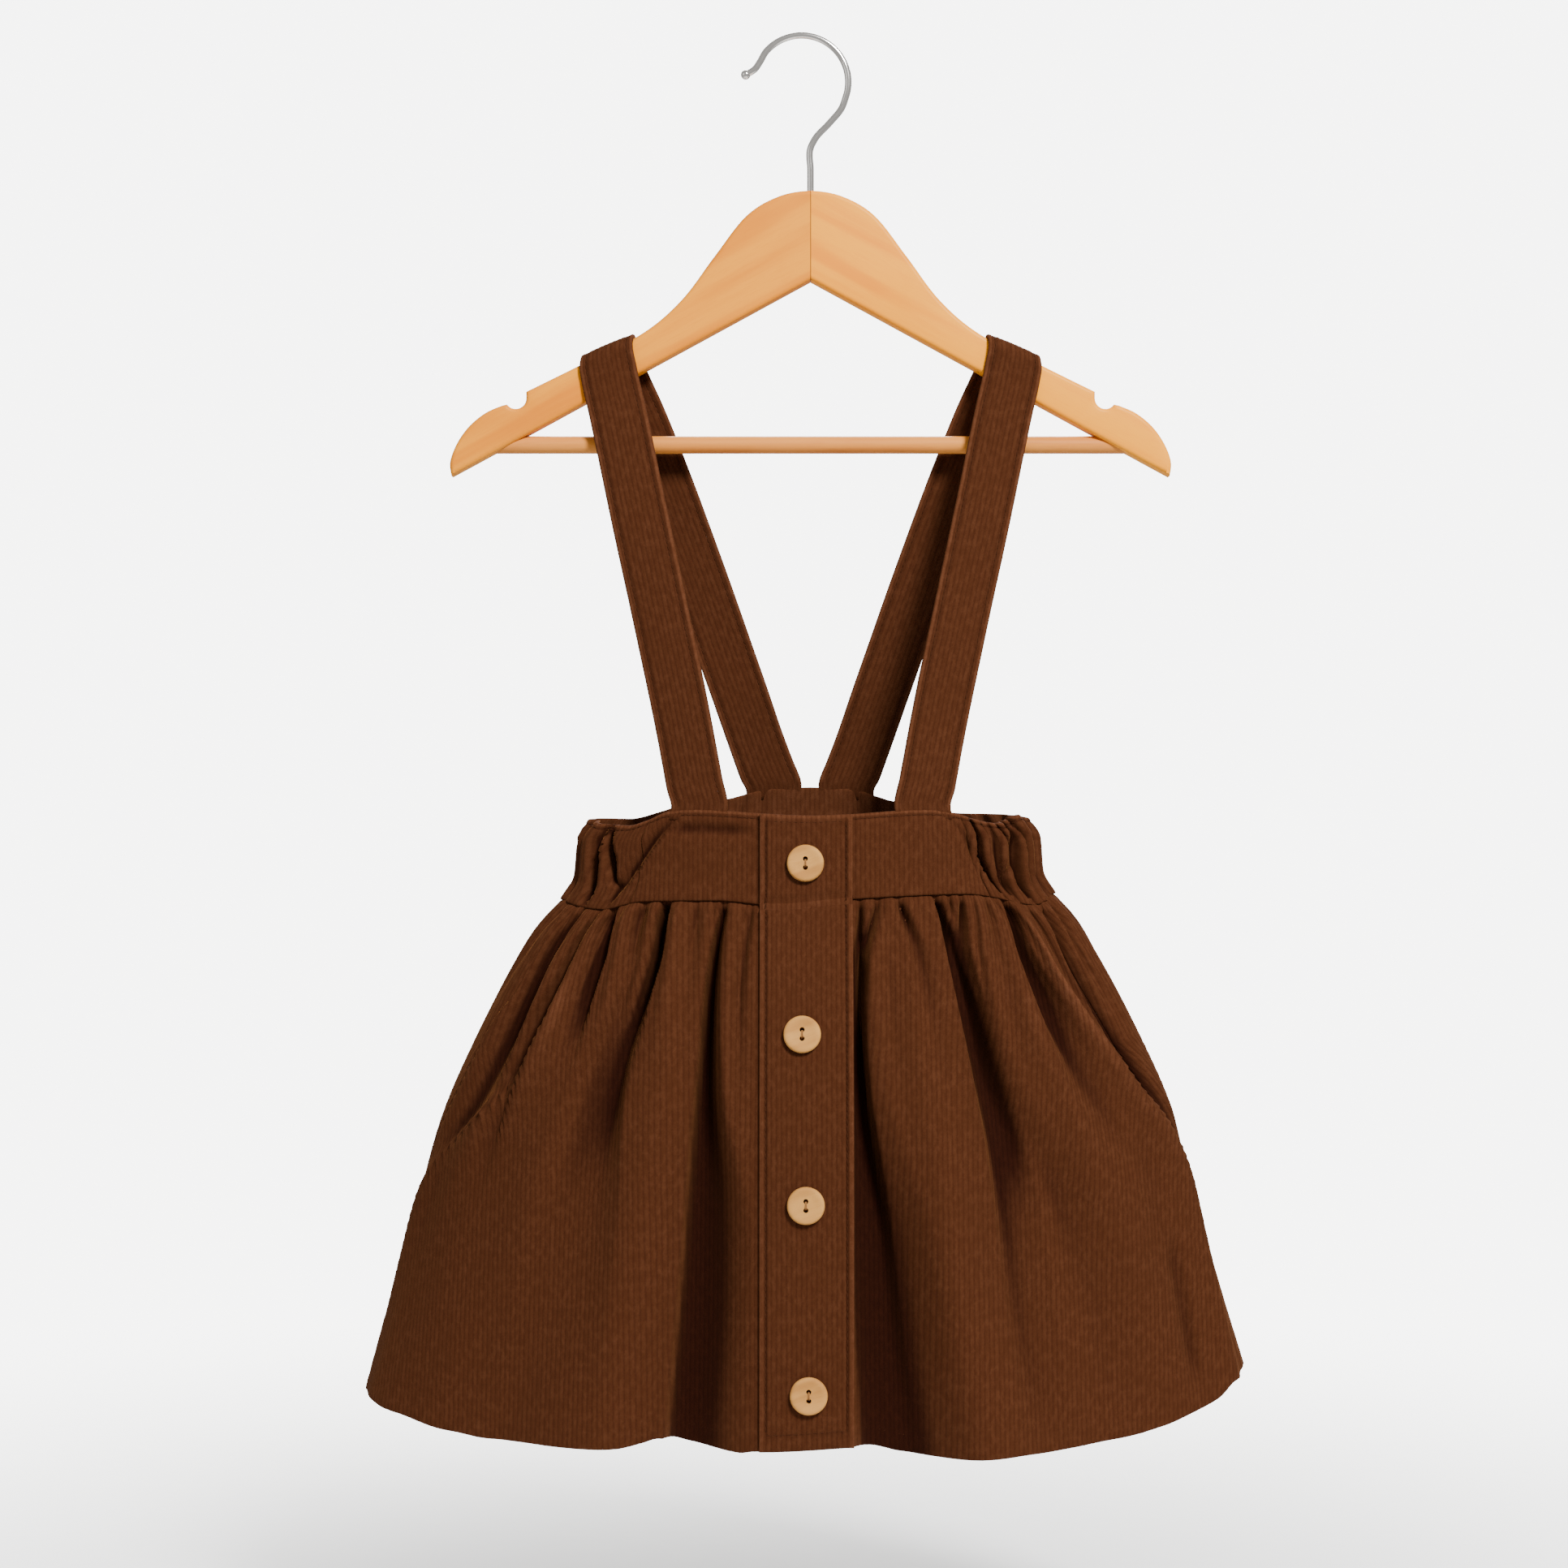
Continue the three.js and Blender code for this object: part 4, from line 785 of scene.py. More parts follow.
def strap_end(x, front, sink):
    """A section on the waistband's own surface, sink below its top edge."""
    tilt = math.radians(STRAP_FRONT[-1][3] if front else STRAP_BACK[0][3])
    down = -BAND_HEIGHT + sink
    ends = []
    for side in (-1, 0, 1):
        turn = float(turn_at(band_ring, x + side * STRAP_WIDTH / 2 / math.cos(tilt), -BAND_HEIGHT))
        ends.append(band_surface(turn if front else 180 - turn, down))
    across = ends[2] - ends[0]
    return np.concatenate([ends[1], across / np.linalg.norm(across)])


def strap_section(x, y, z, tilt, plan):
    tilt, plan = math.radians(tilt), math.radians(plan)
    level = math.cos(tilt)
    return np.array([x, y, z, level * math.cos(plan), level * math.sin(plan), -math.sin(tilt)])


def strap_sections():
    """All sections of the right strap, from its end in the back waistband to its end in the front one."""
    fold, steps = [], STRAP_FOLD["steps"]
    for k in [*range(-steps, 0), *range(1, steps + 1)]:
        angle = math.radians(90 * (abs(k) - 1) / (steps - 1))
        y = -math.copysign(STRAP_FOLD["flat"] + STRAP_FOLD["radius"] * math.sin(angle), k)
        z = STRAP_FOLD["top"] - STRAP_FOLD["radius"] * (1 - math.cos(angle))
        share = (k + steps) / (2 * steps)
        x = STRAP_FOLD["back_x"] * (1 - share) + STRAP_FOLD["front_x"] * share
        fold.append((x, y, z, STRAP_FOLD["tilt"], 0))
    ends = [[strap_end(STRAP_END[edge], edge == "front_x", sink) for sink in (STRAP_END["sunk"], 0)]
            for edge in ("back_x", "front_x")]
    return [*ends[0], *(strap_section(*row) for row in [*STRAP_BACK, *fold, *STRAP_FRONT]), *ends[1][::-1]]


def strap_frames(mirror):
    """Points, width directions and outward normals down the strap, from its back end to its front end."""
    rows, run = through(strap_sections(), STRAP_ROWS)
    middle, wide = rows[:, :3], rows[:, 3:]
    wide = wide / np.linalg.norm(wide, axis=1, keepdims=True)
    ahead = np.gradient(middle, axis=0)
    normal = np.cross(ahead, wide)
    normal /= np.linalg.norm(normal, axis=1, keepdims=True)
    flip = np.array([mirror, 1, 1])
    return middle * flip, wide * flip, normal * flip, run


def strap_points(frames, place, row, out):
    middle, wide, normal, run = frames
    curl = -0.5 * (place / (STRAP_WIDTH / 2)) ** 2
    wave = 0.35 * np.sin(run[row] / 23 + place / 30) + 0.2 * np.sin(run[row] / 9.5 - place / 11)
    ends = smooth(np.minimum(run[row], run[-1] - run[row]) / 40)
    shift = (out + (curl + wave) * ends)[:, None]
    return middle[row] + wide[row] * place[:, None] + normal[row] * shift


def add_strap(name, mirror):
    frames = strap_frames(mirror)
    margin = STRAP_THICK / 2
    here = places(-STRAP_WIDTH / 2, STRAP_WIDTH / 2, WALE["pitch"] / WALE["steps"], margin)[::mirror]
    row = np.repeat(np.arange(STRAP_ROWS), len(here))
    place = np.tile(here, STRAP_ROWS)
    inside = STRAP_WIDTH / 2 - np.abs(place)
    tail = smooth(np.minimum(row, STRAP_ROWS - 1 - row) / 4)
    rounded = edge_round(inside, margin)
    fold_line = sunk(inside - STRAP_LINE, *GROOVE["strap"])
    thin = STRAP_END["thin"]
    out = (margin * (thin + (1 - thin) * tail) + wale_height(place) * tail) * rounded - fold_line * tail
    points = [strap_points(frames, place, row, side * out) for side in (1, -1)]
    uvs = np.stack([place, frames[3][row]], axis=1)
    ordered = [np.arange(len(here), dtype=float)] * STRAP_ROWS
    # Painted shade along the stitch lines and a painted highlight just inside the strap's edges.
    shade = (LINE_SHADE * fold_line - EDGE_HIGHLIGHT["pale"] * edge_highlight_at(inside)) * tail
    return add_object(name, np.vstack(points), shell_faces(ordered, ordered), np.vstack([uvs, uvs]),
                      np.concatenate([shade, shade]))


# ---- Buttons ----
BUTTON = {"radius": 8.3, "thick": 3.0, "dish": 0.3, "hole": 1.1, "apart": 3.9}
# The turned face from the rim inwards: inset from the radius and height, then inset and share of the dish.
BUTTON_RIM = [(1.3, 0), (0.5, 0.25), (0.1, 0.8), (0, 1.4), (0.08, 2.1), (0.4, 2.65), (0.95, 2.92), (1.6, 3.0)]
BUTTON_DISH = [(2.4, 0.1), (3.4, 0.6), (4.6, 1)]
# How far down from the waist seam each button is, and how far off the strip's middle.
BUTTON_DOWN = [-18.1, 60.2, 135.0, 218.0]
BUTTON_OFF = [-0.3, -1.8, -0.3, 0.9]


def around(sides):
    """Cosines and sines of even steps round a circle."""
    return [(math.cos(2 * math.pi * k / sides), math.sin(2 * math.pi * k / sides)) for k in range(sides)]


def tube_faces(rings, sides):
    """Faces of a tube with closed ends, from its rings of vertices."""
    faces = []
    for j in range(rings - 1):
        for k in range(sides):
            a, b = j * sides + k, j * sides + (k + 1) % sides
            faces.append((a, b, b + sides, a + sides))
    return faces + [tuple(range(sides))[::-1], tuple(range((rings - 1) * sides, rings * sides))]


def lathe(name, profile, sides):
    """A turned body from a profile of (radius, height), about Z."""
    points = [(radius * a * MM, radius * b * MM, height * MM) for radius, height in profile for a, b in around(sides)]
    mesh = bpy.data.meshes.new(name)
    mesh.from_pydata(points, [], tube_faces(len(profile), sides))
    return add_to_scene(name, mesh)


def evaluated_mesh(thing):
    bpy.context.view_layer.update()
    return bpy.data.meshes.new_from_object(thing.evaluated_get(bpy.context.evaluated_depsgraph_get()))


def cut(thing, cutter):
    modifier = thing.modifiers.new("cut", "BOOLEAN")
    modifier.operation, modifier.object, modifier.solver = "DIFFERENCE", cutter, "EXACT"
    old, thing.data = thing.data, evaluated_mesh(thing)
    thing.modifiers.clear()
    bpy.data.meshes.remove(old)
    bpy.data.objects.remove(cutter, do_unlink=True)


def shade(thing, angle=40):
    thing.data.polygons.foreach_set("use_smooth", [True] * len(thing.data.polygons))
    thing.data.set_sharp_from_angle(angle=math.radians(angle))
    thing.data.update()


def add_button(index):
    radius, face, hole = BUTTON["radius"], BUTTON["thick"] - BUTTON["dish"], BUTTON["hole"]
    profile = [(radius - inset, height) for inset, height in BUTTON_RIM]
    profile += [(radius - inset, BUTTON["thick"] - sink * BUTTON["dish"]) for inset, sink in BUTTON_DISH]
    profile += [(bare, face) for bare in (2.6, 1.2, 0.3)]
    button = lathe(f"button_{index + 1}_wood", profile, 64)
    for side in (-1, 1):
        bore = [(hole, -4), (hole, face), (hole + 0.25, BUTTON["thick"]), (hole + 0.8, BUTTON["thick"] + 2)]
        drill = lathe("drill", bore, 20)
        drill.location = (0, side * BUTTON["apart"] / 2 * MM, 0)
        cut(button, drill)
    shade(button, 50)
    x, down = np.array([STRIP["middle"] + BUTTON_OFF[index]]), np.array([BUTTON_DOWN[index]])
    normal = Vector(normals_of(strip_surface, x, down)[0])
    base = Vector(strip_surface(x, down)[0]) + normal * (STRIP_THICK / 2 + WALE["deep"] * 0.3)
    right = Vector((0, 0, 1)).cross(normal).normalized()
    turned = Matrix((right, normal.cross(right), normal)).transposed().to_4x4()
    button.data.transform(Matrix.Translation((base + MIDDLE) * MM) @ turned)
    return button, base, right, normal


# ---- Thread ----
THREAD = {"pitch": 2.9, "length": 2.1, "radius": 0.17}
LOOP = {"radius": 0.22, "over": 0.12, "into": 2.8, "bend": 0.62, "steps": 12}  # of thread on a button


def add_stitches(name, paths):
    """Rows of stitches, each a short thick thread lying along its path. A path is points and normals."""
    points, faces = [], []
    ring = around(5)
    stations = [(-0.5, 0.3), (-0.32, 1.0), (0.32, 1.0), (0.5, 0.3)]
    for path, normal in paths:
        length = np.concatenate([[0], np.cumsum(np.linalg.norm(np.diff(path, axis=0), axis=1))])
        for at in np.arange(THREAD["pitch"] / 2, length[-1], THREAD["pitch"]):
            centre, up = (np.array([np.interp(at, length, column) for column in rows.T]) for rows in (path, normal))
            ahead = np.array([np.interp(at + 0.5, length, c) - np.interp(at - 0.5, length, c) for c in path.T])
            ahead /= np.linalg.norm(ahead)
            side = np.cross(ahead, up)
            side /= np.linalg.norm(side)
            first = len(points)
            for along, scale in stations:
                for a, b in ring:
                    lift = up * (a * scale * THREAD["radius"]) + side * (b * scale * THREAD["radius"])
                    points.append(centre + ahead * along * THREAD["length"] + lift)
            for j in range(3):
                for k in range(5):
                    a, b = first + j * 5 + k, first + j * 5 + (k + 1) % 5
                    faces.append((a, a + 5, b + 5, b))
            faces.append(tuple(range(first, first + 5)))
            faces.append(tuple(range(first + 15, first + 20))[::-1])
    return add_object(name, points, faces)


def surface_path(surface, across, down, out):
    across, down = np.broadcast_arrays(np.asarray(across, float), np.asarray(down, float))
    normal = normals_of(surface, across, down)
    return surface(across, down) + normal * out, normal


def edge_stitches(surface, span, down, inset, out):
    """A row of stitches along a row of the cloth."""
    turns = np.arange(span[0](down) + inset, span[1](down) - inset, 0.5)
    return surface_path(surface, turns, down, out)


def strip_stitches():
    side_x = (STRIP_EDGE[0] + STRIP_SIDE_LINE, STRIP_EDGE[1] - STRIP_SIDE_LINE)
    top, hem = STRIP_TOP_LINE - BAND_HEIGHT, SKIRT_LENGTH - HEM_LINE
    rows = [(x, np.arange(top, hem, 1.0)) for x in side_x] + [(np.linspace(*side_x, 40), down) for down in (top, hem)]
    return [surface_path(strip_surface, x, down, STRIP_THICK / 2 - 0.15) for x, down in rows]


def strap_stitches(mirror):
    frames = strap_frames(mirror)
    rows = np.arange(4, STRAP_ROWS - 4)
    paths = []
    for side in (1, -1):
        for edge in (-1, 1):
            place = np.full(len(rows), edge * (STRAP_WIDTH / 2 - STRAP_LINE))
            points = strap_points(frames, place, rows, side * (STRAP_THICK / 2 - 0.2))
            paths.append((points, side * frames[2][rows]))
    return paths


def add_button_threads(index, base, right, normal):
    """The loops of thread over and between a button's two holes."""
    up = normal.cross(right)
    level = BUTTON["thick"] - BUTTON["dish"]
    data = bpy.data.curves.new(f"button_{index + 1}_thread", "CURVE")
    data.dimensions, data.bevel_depth, data.bevel_resolution = "3D", LOOP["radius"] * MM, 3
    steps, bend = LOOP["steps"], LOOP["bend"]
    for shift, lean in ((-0.26, 0.1), (0.24, -0.06)):
        spline = data.splines.new("POLY")
        spline.points.add(steps)
        for k in range(steps + 1):
            t = k / steps * 2 - 1
            out = level + LOOP["over"] - LOOP["into"] * max(0, abs(t) - bend) / (1 - bend)
            place = base + normal * out + right * (shift + lean * t) + up * (t * (BUTTON["apart"] / 2 + 0.1))
            spline.points[k].co = (*((place + MIDDLE) * MM), 1)
    return meshed(data)


def meshed(data):
    """A mesh object from a curve's data, under the curve's name."""
    drawn, name = add_to_scene(data.name, data), data.name
    mesh = evaluated_mesh(drawn)
    bpy.data.objects.remove(drawn, do_unlink=True)
    return add_to_scene(name, mesh)


# ---- Hanger ----
HANGER_THICK = 12.0
HANGER_EDGE = 2.0
MITRE_GAP = 0.02  # from each arm to the middle of the mitre
CROWN_Z = -69.0
ARM_TOP = [(-12, 1.7), (0, 0), (14.5, 2.6), (29.3, 11.5), (44.1, 30.4), (59, 50.1), (77.5, 65.6), (107, 80.5),
           (129.5, 91.6)]
NOTCH = {"x": 134.3, "drop": 94.6, "radius": 4.8, "lip": -35}
ARM_END = [(140.5, 97.9), (148, 101.2), (155.4, 107.2), (161, 115), (164.2, 123.5), (163.6, 130)]
ARM_UNDER = {"drop": 40.8, "slope": 0.5455}
BAR = {"radius": 4.0, "half": 150.0}
WIRE_RADIUS = 1.55
HOOK_BALL = 2.2


def spline_2d(rows, count):
    """The uniform Catmull-Rom curve through (x, drop) rows."""
    rows = np.asarray(rows, float)
    ends = np.vstack([rows[0], rows, rows[-1]])
    points = []
    for t in np.linspace(0, len(rows) - 1, count):
        i = min(int(t), len(rows) - 2)
        a, b, c, d = ends[i:i + 4]
        u = t - i
        points.append(0.5 * (2 * b + (c - a) * u + (2 * a - 5 * b + 4 * c - d) * u ** 2
                             + (3 * b - a - 3 * c + d) * u ** 3))
    return [tuple(point) for point in points]


def arm_outline():
    lip = np.linspace(math.pi, 2 * math.pi + math.radians(NOTCH["lip"]), 14)
    notch = [(NOTCH["x"] + NOTCH["radius"] * math.cos(a), NOTCH["drop"] - NOTCH["radius"] * math.sin(a)) for a in lip]
    under = [(x, ARM_UNDER["drop"] + ARM_UNDER["slope"] * x) for x in (155, 120, 80, 40, ARM_TOP[0][0])]
    rows = spline_2d(ARM_TOP, 60) + notch + spline_2d(ARM_END, 24) + under
    return [(x, CROWN_Z - drop) for x, drop in rows]


def add_arm(name, mirror):
    """One half of the wooden hanger: its outline, thick and rounded, cut off at the mitre in the middle."""
    data = bpy.data.curves.new(name, "CURVE")
    data.dimensions, data.fill_mode = "2D", "BOTH"
    data.extrude = (HANGER_THICK / 2 - HANGER_EDGE) * MM
    data.bevel_depth, data.bevel_resolution, data.offset = HANGER_EDGE * MM, 4, -HANGER_EDGE * MM
    outline = arm_outline()
    spline = data.splines.new("POLY")
    spline.points.add(len(outline) - 1)
    spline.use_cyclic_u = True
    for point, (x, z) in zip(spline.points, outline):
        point.co = (x * MM, z * MM, 0, 1)
    arm = meshed(data)
    arm.data.transform(Matrix.Rotation(math.pi / 2, 4, "X"))
    form = bmesh.new()
    form.from_mesh(arm.data)
    bmesh.ops.remove_doubles(form, verts=form.verts, dist=1e-6)
    everything = form.verts[:] + form.edges[:] + form.faces[:]
    cut_at = (MITRE_GAP * MM, 0, 0)
    cut_edges = bmesh.ops.bisect_plane(form, geom=everything, plane_co=cut_at, plane_no=(1, 0, 0), clear_inner=True)
    edges = [e for e in cut_edges["geom_cut"] if isinstance(e, bmesh.types.BMEdge)]
    bmesh.ops.contextual_create(form, geom=edges)
    if mirror < 0:
        bmesh.ops.scale(form, vec=(-1, 1, 1), verts=form.verts)
    bmesh.ops.recalc_face_normals(form, faces=form.faces)
    bmesh.ops.translate(form, vec=MIDDLE * MM, verts=form.verts)
    form.to_mesh(arm.data)
    form.free()
    shade(arm, 35)
    return arm


def add_tube(name, path, radius, sides):
    """A round wire along a path in the plane of X and Z, with closed ends."""
    path = np.asarray(path, float)
    ahead = np.gradient(path, axis=0)
    ahead /= np.linalg.norm(ahead, axis=1, keepdims=True)
    points = [centre + radius * (side * a + np.array([0, b, 0]))
              for centre, side in zip(path, np.cross(ahead, (0, 1, 0))) for a, b in around(sides)]
    return add_object(name, points, tube_faces(len(path), sides))


HOOK_ARC = {"x": -0.9, "radius": 21.35, "from": 140, "to": -20, "step": 8}
HOOK_TIP = [(-26.4, -16.5), (-22.3, -14), (-19.7, -10.3)]
HOOK_NECK = [(17.7, -31.2), (12, -38.4), (5, -46.2)]
STEM = {"bend_z": -50, "start": 10, "depth": 24}


def add_hook():
    """The wire hook. Its points are measured from the point that hangs, so they are shifted to MIDDLE."""
    centre_z = WIRE_RADIUS - HOOK_ARC["radius"]
    angles = np.radians(np.arange(HOOK_ARC["from"], HOOK_ARC["to"] - 1, -HOOK_ARC["step"]))
    arc = [(HOOK_ARC["x"] + HOOK_ARC["radius"] * math.cos(a), centre_z + HOOK_ARC["radius"] * math.sin(a))
           for a in angles]
    crown = MIDDLE.z + CROWN_Z
    stem = [(MIDDLE.x, STEM["bend_z"]), (MIDDLE.x, crown + STEM["start"]), (MIDDLE.x, crown - STEM["depth"])]
    rows = [(x, 0, z) for x, z in [*HOOK_TIP, *arc, *HOOK_NECK, *stem]]
    path = through(rows, 150)[0] - np.array(MIDDLE)
    wire = add_tube("hook_wire", path, WIRE_RADIUS, 20)
    ball = bpy.data.meshes.new("hook_ball")
    form = bmesh.new()
    bmesh.ops.create_uvsphere(form, u_segments=24, v_segments=16, radius=HOOK_BALL * MM)
    bmesh.ops.translate(form, vec=Vector(rows[0]) * MM, verts=form.verts)
    form.to_mesh(ball)
    form.free()
    tip = add_to_scene("hook_ball", ball)
    for thing in (wire, tip):
        shade(thing, 60)
    return wire, tip


def add_bar():
    half = BAR["half"]
    path = [(x, 0, BAR_Z) for x in np.linspace(-half, half, 25)]
    bar = add_tube("hanger_bar_wood", path, BAR["radius"], 40)
    shade(bar, 50)
    return bar


# ---- Materials ----


def linear(colour):
    """A colour from 0 to 255, as it looks, in Blender's linear values."""
    return tuple(((v / 255 + 0.055) / 1.055) ** 2.4 if v > 10 else v / 255 / 12.92 for v in colour) + (1,)


class Look:
    """A material in the making. An input of a node is either a plain value or another node's socket."""

    def __init__(self, name):
        self.material = bpy.data.materials.new(name)
        self.material.use_nodes = True
        self.tree = self.material.node_tree
        self.point = self.node("TexCoord").outputs["Object"]

    def fill(self, node, inputs):
        for name, value in inputs.items():
            target = node.inputs[name if isinstance(name, int) else name.replace("_", " ")]
            if isinstance(value, bpy.types.NodeSocket):
                self.tree.links.new(value, target)
            else:
                target.default_value = value
        return node

    def node(self, kind, *values, **inputs):
        return self.fill(self.tree.nodes.new("ShaderNode" + kind), {**dict(enumerate(values)), **inputs})

    def finish(self, **inputs):
        """The material, with these inputs of its shader."""
        self.fill(self.tree.nodes["Principled BSDF"], inputs)
        return self.material

    def math(self, operation, *values):
        made = self.node("Math", *values)
        made.operation = operation
        return made.outputs[0]

    def mix(self, factor, a, b, blend="MIX"):
        made = self.node("Mix")
        made.data_type, made.blend_type = "RGBA", blend
        return self.fill(made, {0: factor, 6: a, 7: b}).outputs[2]

    def noise(self, vector, scale, detail=2.0, roughness=0.5):
        return self.node("TexNoise", Vector=vector, Scale=scale, Detail=detail, Roughness=roughness).outputs["Fac"]

    def ramp(self, value, low, high):
        """0 below low and 1 above high."""
        made = self.node("MapRange", Value=value, From_Min=low, From_Max=high)
        made.interpolation_type = "SMOOTHSTEP"
        return made.outputs["Result"]

    def tint(self, colour, value, low, high, share, other):
        """Brings in some of another colour where a value rises from low to high."""
        return self.mix(self.math("MULTIPLY", self.ramp(value, low, high), share), colour, other)

    def bump(self, height, strength, distance):
        return self.node("Bump", Strength=strength, Distance=distance, Height=height).outputs["Normal"]


# valley is the painted shade multiplied into folds and stitch lines; crest is the painted highlight multiplied onto
# crests, lit edges and the inner side.
CORDUROY = {"dark": (0.0355, 0.0098, 0.0033, 1), "middle": (0.049, 0.0148, 0.0052, 1),
            "light": (0.068, 0.023, 0.0096, 1), "cloud": (0.041, 0.0118, 0.0037, 1),
            "valley": (0.3, 0.2, 0.16, 1), "crest": (2.1, 2.4, 2.9, 1), "tufts": 230}


def corduroy_material():
    g = Look("brown_corduroy")
    uv = g.node("UVMap")
    uv.uv_map = "cloth"
    place = g.node("SeparateXYZ", uv.outputs[0])
    across = g.math("MULTIPLY", place.outputs[0], 1 / (WALE["pitch"] * MM))
    ridge = g.math("ABSOLUTE", g.math("SINE", g.math("MULTIPLY", across, math.pi)))
    tuft = g.node("CombineXYZ", across, g.math("MULTIPLY", place.outputs[1], CORDUROY["tufts"]))
    broken = g.noise(tuft.outputs[0], 1.0, 3.0, 0.6)
    cloudy, fuzz = g.noise(g.point, 45, 3.0), g.noise(g.point, 1900, 2.0, 0.6)
    dark, light = CORDUROY["dark"], CORDUROY["light"]
    # Each wale's narrow valley takes the dark colour: painted shade between the wales.
    colour = g.mix(g.ramp(ridge, 0.15, 0.85), dark, CORDUROY["middle"])
    for row in ((broken, 0.42, 0.78, 0.6, light), (broken, 0.58, 0.3, 0.45, dark), (fuzz, 0.5, 0.75, 0.4, dark),
                (fuzz, 0.5, 0.25, 0.3, light), (cloudy, 0.4, 0.7, 0.25, CORDUROY["cloud"])):
        colour = g.tint(colour, *row)
    # The fold attribute multiplies in painted shade down in folds and stitch lines, and a painted highlight on
    # crests, lit edges and the inner side.
    fold = g.node("Attribute")
    fold.attribute_name = "fold"
    for reach, shade_of in (((0, 1), CORDUROY["valley"]), ((-0.04, -1), CORDUROY["crest"])):
        colour = g.mix(g.ramp(fold.outputs["Fac"], *reach), colour, shade_of, "MULTIPLY")
    height = g.math("ADD", g.math("MULTIPLY", fuzz, 0.5), g.math("MULTIPLY", broken, 0.5))
    return g.finish(
        Base_Color=colour, Roughness=0.92, Specular_IOR_Level=0.05, Sheen_Weight=0.12, Sheen_Roughness=0.4,
        Sheen_Tint=(0.9, 0.34, 0.1, 1), Normal=g.bump(height, 0.5, 0.0004))


def thread_material(name, colour):
    g = Look(name)
    twist = g.noise(g.point, 3000, 2.0)
    return g.finish(
        Base_Color=g.mix(twist, linear(tuple(0.8 * c for c in colour)), linear(colour)), Roughness=0.8,
        Specular_IOR_Level=0.08, Normal=g.bump(twist, 0.5, 0.0001))


# Each wood's paler and deeper colour, the turn of its fibres, its coat and roughness, and if the mitre crosses it.
WOODS = {
    # The left arm's colours are darker and redder than the right's: painted shade on the left arm and painted light
    # on the right, as the light falls from the right.
    "beech_left": ((226, 142, 20), (208, 118, 10), 28.6, 0.02, 0.38, True),
    "beech_right": ((238, 152, 10), (224, 130, 4), -28.6, 0.02, 0.38, True),
    "beech_bar": ((206, 132, 56), (186, 108, 38), 0, 0.05, 0.38, False),
    "button_wood": ((180, 130, 68), (156, 106, 52), 20, 0.0, 0.62, False),
}
GLUE_LINE = {"half": 0.35, "colour": (120, 66, 22), "share": 0.8}  # the mitre's dark line on the arms


def wood_material(name, pale, deep, turn, coat, rough, glued):
    """Fine-grained wood, its fibres along X turned by some degrees in the plane of X and Z."""
    g = Look(name)
    pale, deep = linear(pale), linear(deep)
    lay = g.node("Mapping", Vector=g.point, Rotation=(0, math.radians(turn), 0))
    grain = g.node("Mapping", Vector=lay.outputs[0], Scale=(0.06, 1, 1)).outputs[0]
    fibres = g.noise(grain, 1500, 3.0, 0.6)
    colour = g.mix(g.ramp(g.noise(grain, 130, 3.0), 0.35, 0.68), pale, deep)
    colour = g.tint(colour, fibres, 0.45, 0.75, 0.35, deep)
    colour = g.tint(colour, g.noise(g.point, 22, 2.0), 0.4, 0.7, 0.3, pale)
    if glued:
        x = g.node("SeparateXYZ", g.point).outputs[0]
        away = g.math("ABSOLUTE", g.math("SUBTRACT", x, float(MIDDLE[0]) * MM))
        line = g.math("SUBTRACT", 1, g.ramp(away, 0.3 * GLUE_LINE["half"] * MM, GLUE_LINE["half"] * MM))
        colour = g.mix(g.math("MULTIPLY", line, GLUE_LINE["share"]), colour, linear(GLUE_LINE["colour"]))
    return g.finish(
        Base_Color=colour, Roughness=g.math("ADD", rough, g.math("MULTIPLY", fibres, 0.15)),
        Normal=g.bump(fibres, 0.15, 0.0002), Specular_IOR_Level=0.1, Coat_Weight=coat, Coat_Roughness=0.25)


def steel_material():
    g = Look("plated_steel")
    rough = g.math("ADD", 0.1, g.math("MULTIPLY", g.noise(g.point, 400, 3.0), 0.12))
    return g.finish(Base_Color=linear((225, 222, 218)), Metallic=1.0, Roughness=rough)


def floor_material():
    """Pale matt floor that fades out towards its rim."""
    g = Look("pale_floor")
    colour = g.mix(g.noise(g.point, 60, 3.0), linear((232, 232, 231)), linear((238, 238, 237)))
    away = g.node("VectorMath", g.point)
    away.operation = "LENGTH"
    faded = g.ramp(away.outputs["Value"], FLOOR["solid"], FLOOR["radius"])
    return g.finish(Base_Color=colour, Roughness=0.9, Alpha=g.math("SUBTRACT", 1, faded))


# ---- Stage ----
FLOOR = {"z": -0.745, "solid": 0.1, "radius": 1.1, "sides": 96}
LIGHTS = {"key": ((0.85, -1.7, 1.15), 0.6, 135), "fill": ((-1.8, -1.4, 0.3), 1.6, 6),
          "back": ((0.3, 2.0, 1.2), 1.5, 95)}  # place, size and power
LIT_POINT = (0, 0, -0.35)
SOFT_LIGHT = ((1, 0.985, 0.96, 1), 0.5)  # colour and strength of the light from all sides
BACKGROUND = ((1, 1, 0.99, 1), 6.6)  # and of what the camera sees behind the part
CAMERA = {"place": (-0.0089, -1.5, -0.3404), "lens": 75.4}  # place in metres


def add_floor():
    rim = [(FLOOR["radius"] * a, FLOOR["radius"] * b, 0) for a, b in around(FLOOR["sides"])]
    mesh = bpy.data.meshes.new("floor")
    mesh.from_pydata(rim, [], [tuple(range(FLOOR["sides"]))])
    mesh.materials.append(floor_material())
    floor = add_to_scene("floor", mesh)
    floor.location = (0, 0, FLOOR["z"])


def add_light(name, place, size, power):
    data = bpy.data.lights.new(name, "AREA")
    data.shape, data.size, data.energy = "DISK", size, power
    light = add_to_scene(name, data)
    light.location = place
    light.rotation_euler = (Vector(LIT_POINT) - Vector(place)).to_track_quat("-Z", "Y").to_euler()


